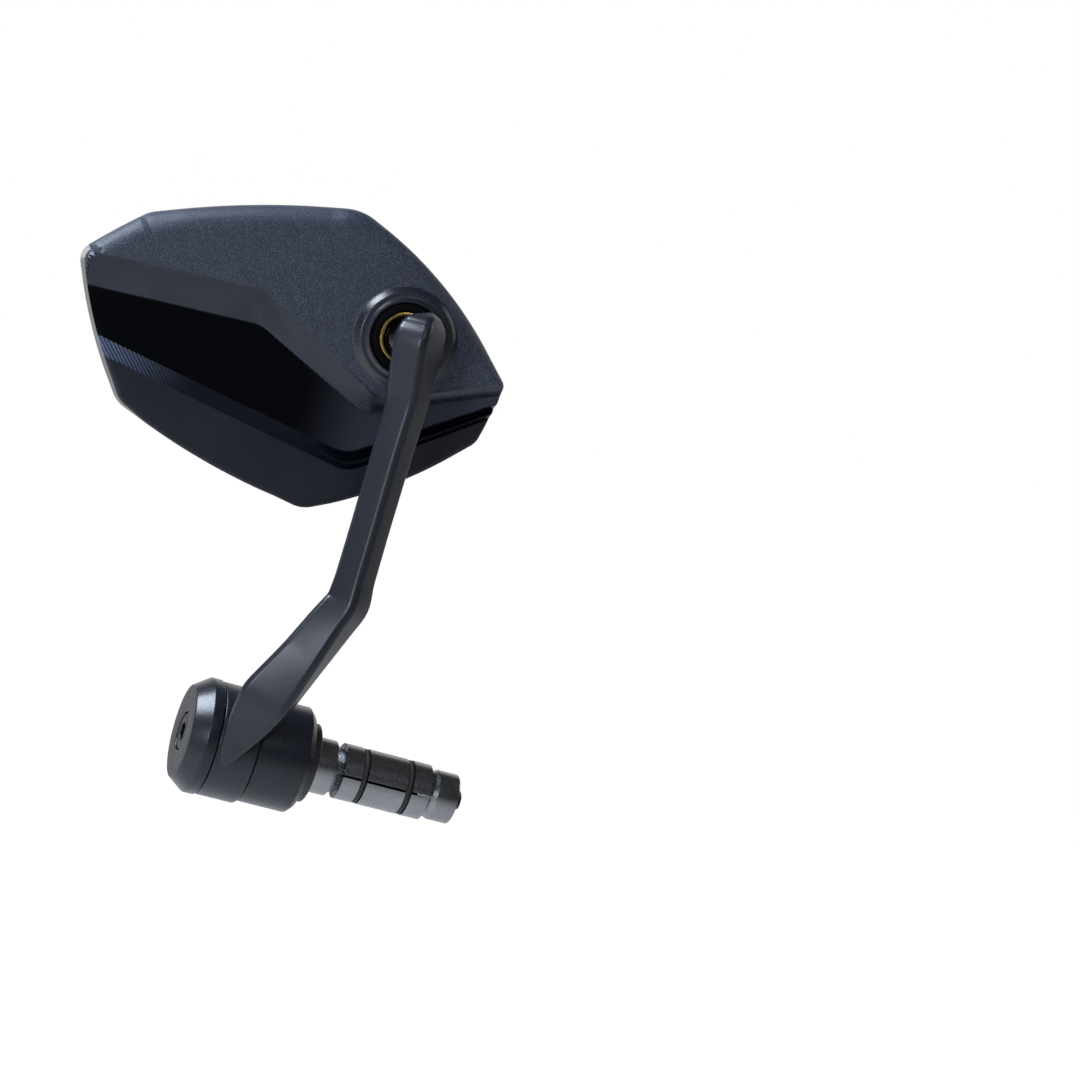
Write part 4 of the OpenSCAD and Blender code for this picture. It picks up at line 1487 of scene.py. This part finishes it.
@dataclass
class BarEnd:
    """Cap, spacer, collar, cones and screw on the bar's axis, in millimetres.

    Args:
        cap_x: outer face of the cap.
        bore_r: radius of the cap's counterbore.
        screw_hole: radius of the holes round the screw.
        screw_r: radius of the screw's shank.
        screw_end: inboard end of the screw.
        head_x: outer face of the screw's head.
        head_l: length of the head.
        head_r: radius of the head.
        hex_af: width across flats of its socket.
        thread_pitch: pitch of the thread.
        thread_depth: depth of the thread.
    """

    SCREW_SIDES = 96
    THREAD_SLICES = 8

    cap_x: float = -36.7
    bore_r: float = 5.5
    screw_hole: float = 3.25
    screw_r: float = 3.0
    screw_end: float = 44.0
    head_x: float = -36.5
    head_l: float = 6.0
    head_r: float = 5.0
    hex_af: float = 5.0
    thread_pitch: float = 1.0
    thread_depth: float = 0.5

    def build(self, fitter: Fitter) -> None:
        """Builds and dresses the pieces on the bar's axis.

        Args:
            fitter: what dresses them and ties them to the frame.
        """
        hole, x = self.screw_hole, self.cap_x
        profiles = {
            ("cap_turned", "end_cap", "anodised_black", "turned black"): [
                Corner(x, self.bore_r, 0.4), Corner(x, 12.9, 0.7), Corner(x + 4.4, 16, 0.7),
                Corner(x + 7.3, 16, 0.35), Corner(x + 7.3, 6.4), Corner(x + 9.5, 6.4), Corner(x + 9.5, hole),
                Corner(x + 7.2, hole), Corner(x + 7.2, self.bore_r)],
            ("spacer_turned", "spacer_sleeve", "anodised_black", "turned black"): [
                Corner(-28.8, 6.65), Corner(-28.8, 7.94, 0.3), Corner(-17.8, 7.94), Corner(-17.8, 14.8, 0.5),
                Corner(-4.0, 14.8, 0.4), Corner(-2.5, 13.3, 0.3), Corner(-2.5, hole), Corner(-26.6, hole),
                Corner(-26.6, 6.65)],
            ("collar_moulded", "seat_collar", "collar_plastic", "collar plastic"): [
                Corner(-2.5, 7.81), Corner(-2.5, 11, 0.35), Corner(0, 11, 0.35), Corner(0, 7.81)],
            ("cone_turned", "fixed_cone", "bright_steel", "zinc steel"): [
                Corner(-2.5, hole), Corner(-2.5, 7.5, 0.2), Corner(0, 7.5), Corner(0, 7.75),
                Corner(6, 7.75, 0.3), Corner(6, 7.0), Corner(12, 4.2, 0.3), Corner(12, hole)],
            ("nut_turned", "cone_nut", "bright_steel", "zinc steel"): [
                Corner(30, 3.06), Corner(30, 4.2, 0.3), Corner(36, 7.0, 0.15), Corner(42, 7.0, 0.5),
                Corner(42, 3.06)],
        }
        for names, corners in profiles.items():
            fitter.turned(Axis.BAR, corners, names)
        self.build_screw(fitter)

    def build_screw(self, fitter: Fitter) -> None:
        """Builds the cap screw with its hex socket and its thread.

        Args:
            fitter: what dresses it and ties it to the frame.
        """
        circle = wheel(self.SCREW_SIDES)
        angle = np.linspace(0, 2 * math.pi, self.SCREW_SIDES, endpoint=False)
        hexagon = self.hex_af / 2 / np.cos(np.mod(angle, math.pi / 3) - math.pi / 6)
        face, start, shank = self.head_x, self.head_x + self.head_l, self.screw_r
        rows: list[tuple[float, np.ndarray | float]] = [
            (face + 3.6, hexagon * 0.02), (face + 3.3, hexagon), (face + 0.25, hexagon),
            (face, hexagon + 0.25), (face, 4.4), (face + 0.08, 4.7), (face + 0.3, 4.92),
            (face + 0.6, self.head_r), (start, self.head_r), (start, shank), (-0.2, shank)]
        for x in np.arange(0.0, self.screw_end - 0.4, self.thread_pitch / self.THREAD_SLICES):
            turn = np.mod(x / self.thread_pitch - angle / (2 * math.pi), 1.0)
            groove = self.thread_depth * (1 - np.clip(np.abs(2 * turn - 1) * 1.25, 0, 1))
            rows.append((x, shank - groove * min(1.0, x / 3)))
        rows += [(self.screw_end, 2.4), (self.screw_end, 0.02)]
        build = Build(fitter.place.matrix(Axis.BAR))
        build.skin(np.array([raised((circle.T * radius).T, x) for x, radius in rows]))
        fitter.stand_in(build.piece("cap_screw"), "clamp_screw", "black_steel", "black screw")


CARRIED = {
    "screw_washer": "black screw", "hub_bush": "bronze", "friction_washer_outer": "bearing plastic",
    "friction_washer_inner": "bearing plastic", "clamp_jaw_1": "zinc steel", "clamp_jaw_2": "zinc steel",
    "clamp_jaw_3": "zinc steel", "clamp_jaw_4": "zinc steel", "jaw_ring_outer": "rubber",
    "jaw_ring_inner": "rubber", "rear_seat_cup": "bearing plastic", "wave_spring": "zinc steel",
    "adhesive_pad": "foam",
}


@dataclass(frozen=True)
class Lamp:
    """A soft lamp of the studio, placed by its direction from the head as the camera sees it.

    Args:
        name: its name.
        toward: how far right, up and towards the camera its direction leans.
        distance: metres from the head.
        size: width and height in metres.
        power: watts.
        colour: its colour.
    """

    name: str
    toward: tuple[float, float, float]
    distance: float
    size: tuple[float, float]
    power: float
    colour: tuple[float, float, float] = (1.0, 1.0, 1.0)


@dataclass
class Studio:
    """Camera, lamps, floor and world.

    Args:
        camera_at: the camera's place in metres.
        azimuth: its heading in degrees.
        elevation: its rise in degrees.
        roll: its roll in degrees.
        lens: its focal length in millimetres.
        middle: the place that the lamps face.
        ambient: strength of the world's light.
        room: how bright the dim side of the room is in reflections.
        room_from: where the dim side begins and is full, as the cosine from the camera's heading.
        floor_half: half the floor's side.
        floor_z: the floor's height.
        floor_glow: how bright the floor is to the eye.
        floor_shine: share of that in reflections.
        lamps: the lamps.
    """

    FLOOR_TILES = 5


    camera_at: tuple[float, float, float] = (-0.2109, -0.859, 0.1207)
    azimuth: float = 16.594
    elevation: float = -2.846
    roll: float = 16.587
    lens: float = 107.95
    middle: tuple[float, float, float] = (-0.03, -0.01, 0.1)
    ambient: float = 0.33
    room: float = 0.05
    room_from: tuple[float, float] = (0.6, 0.88)
    floor_half: float = 14.0
    floor_z: float = -0.35
    floor_glow: float = 0.75
    floor_shine: float = 0.2
    lamps: tuple[Lamp, ...] = (
        Lamp("sky_lamp", (-0.6, 1.0, 0.14), 0.9, (0.6, 0.3), 16.0, (0.78, 0.87, 1.0)),
        Lamp("blade_lamp", (-0.45, 0.16, 0.9), 1.1, (0.22, 0.22), 4.0, (0.84, 0.91, 1.0)),
        Lamp("front_lamp", (0.34, 0.42, 1.0), 1.1, (0.1, 0.4), 1.3, (0.84, 0.91, 1.0)),
        Lamp("side_lamp", (1.0, 0.3, -0.3), 0.9, (0.2, 0.6), 1.5, (1.0, 0.97, 0.93)),
        Lamp("left_lamp", (-1.0, -0.15, -0.25), 0.9, (0.4, 0.5), 1.5, (0.95, 0.97, 1.0)),
    )

    def build(self) -> None:
        """Sets the camera, the lamps, the floor and the world."""
        a, e, r = map(math.radians, (self.azimuth, self.elevation, self.roll))
        look = Vector((math.sin(a) * math.cos(e), math.cos(a) * math.cos(e), math.sin(e)))
        level = look.cross(Vector((0, 0, 1))).normalized()
        upright = level.cross(look)
        right = level * math.cos(r) + upright * math.sin(r)
        up = upright * math.cos(r) - level * math.sin(r)
        data = bpy.data.cameras.new("camera")
        camera = bpy.data.objects.new("camera", data)
        bpy.context.scene.collection.objects.link(camera)
        turn = Matrix((right, up, -look)).transposed()
        camera.matrix_world = Matrix.Translation(Vector(self.camera_at)) @ turn.to_4x4()
        data.sensor_width = 36.0
        data.lens = self.lens
        bpy.context.scene.camera = camera
        bpy.context.scene.view_settings.view_transform = "Standard"
        for lamp in self.lamps:
            self.hang(lamp, turn)
        self.lay_floor()
        self.paint_world()

    def hang(self, lamp: Lamp, turn: Matrix) -> None:
        """Hangs one lamp facing the head.

        Args:
            lamp: the lamp.
            turn: the camera's turn.
        """
        way = (turn @ Vector(lamp.toward)).normalized()
        light = bpy.data.lights.new(lamp.name, "AREA")
        light.shape = "RECTANGLE"
        light.size, light.size_y = lamp.size
        light.energy = lamp.power
        light.color = lamp.colour
        held = bpy.data.objects.new(lamp.name, light)
        held.location = Vector(self.middle) + way * lamp.distance
        held.rotation_euler = (-way).to_track_quat("-Z", "Y").to_euler()
        held.visible_camera = False
        bpy.context.scene.collection.objects.link(held)

    def lay_floor(self) -> None:
        """Lays a plain pale floor well below the part."""
        mesh = bpy.data.meshes.new("floor")
        work = bmesh.new()
        bmesh.ops.create_grid(work, x_segments=self.FLOOR_TILES, y_segments=self.FLOOR_TILES,
                              size=self.floor_half)
        bmesh.ops.translate(work, verts=work.verts, vec=(0, 0, self.floor_z))
        work.to_mesh(mesh)
        work.free()
        floor = bpy.data.objects.new("floor", mesh)
        bpy.context.scene.collection.objects.link(floor)
        paint = bpy.data.materials.new("pale floor")
        paint.use_nodes = True
        wires = Wiring(paint.node_tree)
        rays = wires.add("ShaderNodeLightPath").outputs
        seen = wires.maths("MULTIPLY_ADD", rays["Is Glossy Ray"], self.floor_shine, rays["Is Camera Ray"])
        glow = wires.maths("MULTIPLY", seen, self.floor_glow)
        wires.fill(wires.tree.nodes["Principled BSDF"], {
            "Base Color": (0.8, 0.8, 0.8, 1), "Roughness": 0.9, "Specular IOR Level": 0.0,
            "Emission Color": (1, 1, 1, 1), "Emission Strength": glow})
        mesh.materials.append(paint)

    def paint_world(self) -> None:
        """Makes the world white to the eye, lets it light softly and dims one side of it in reflections."""
        world = bpy.data.worlds.new("studio")
        bpy.context.scene.world = world
        world.use_nodes = True
        wires = Wiring(world.node_tree)
        rays = wires.add("ShaderNodeLightPath").outputs
        glossy = rays["Is Glossy Ray"]
        seen = wires.maths("MAXIMUM", wires.maths("MAXIMUM", rays["Is Camera Ray"], glossy),
                           rays["Is Transmission Ray"])
        light = wires.ramp(seen, ends=(self.ambient, 1.0), eased=False)
        way = wires.add("ShaderNodeTexCoord").outputs["Generated"]
        a = math.radians(self.azimuth)
        ahead = wires.add("ShaderNodeVectorMath", {0: way, 1: (math.sin(a), math.cos(a), 0.0)},
                          operation="DOT_PRODUCT").outputs["Value"]
        dim = wires.maths("MULTIPLY", glossy, wires.ramp(ahead, *self.room_from, ends=(1.0 - self.room, 0.0)))
        wires.fill(wires.tree.nodes["Background"], {
            "Color": (1, 1, 1, 1), "Strength": wires.maths("SUBTRACT", light, dim)})


def main() -> None:
    """Builds and dresses the whole part."""
    logging.basicConfig(level=logging.INFO, format="%(message)s")
    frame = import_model()
    Studio().build()
    fitter = Fitter(frame)
    housing = HeadHousing()
    housing.build(fitter)
    MirrorGlass().build(housing, fitter)
    ForgedArm().build(fitter)
    BallJoint().build(fitter)
    BarEnd().build(fitter)
    for node, finish in CARRIED.items():
        fitter.dress(frame["nodes"][node], finish)
        LOG.info("%s: dressed in %s", node, finish)


if __name__ == "__main__":
    main()
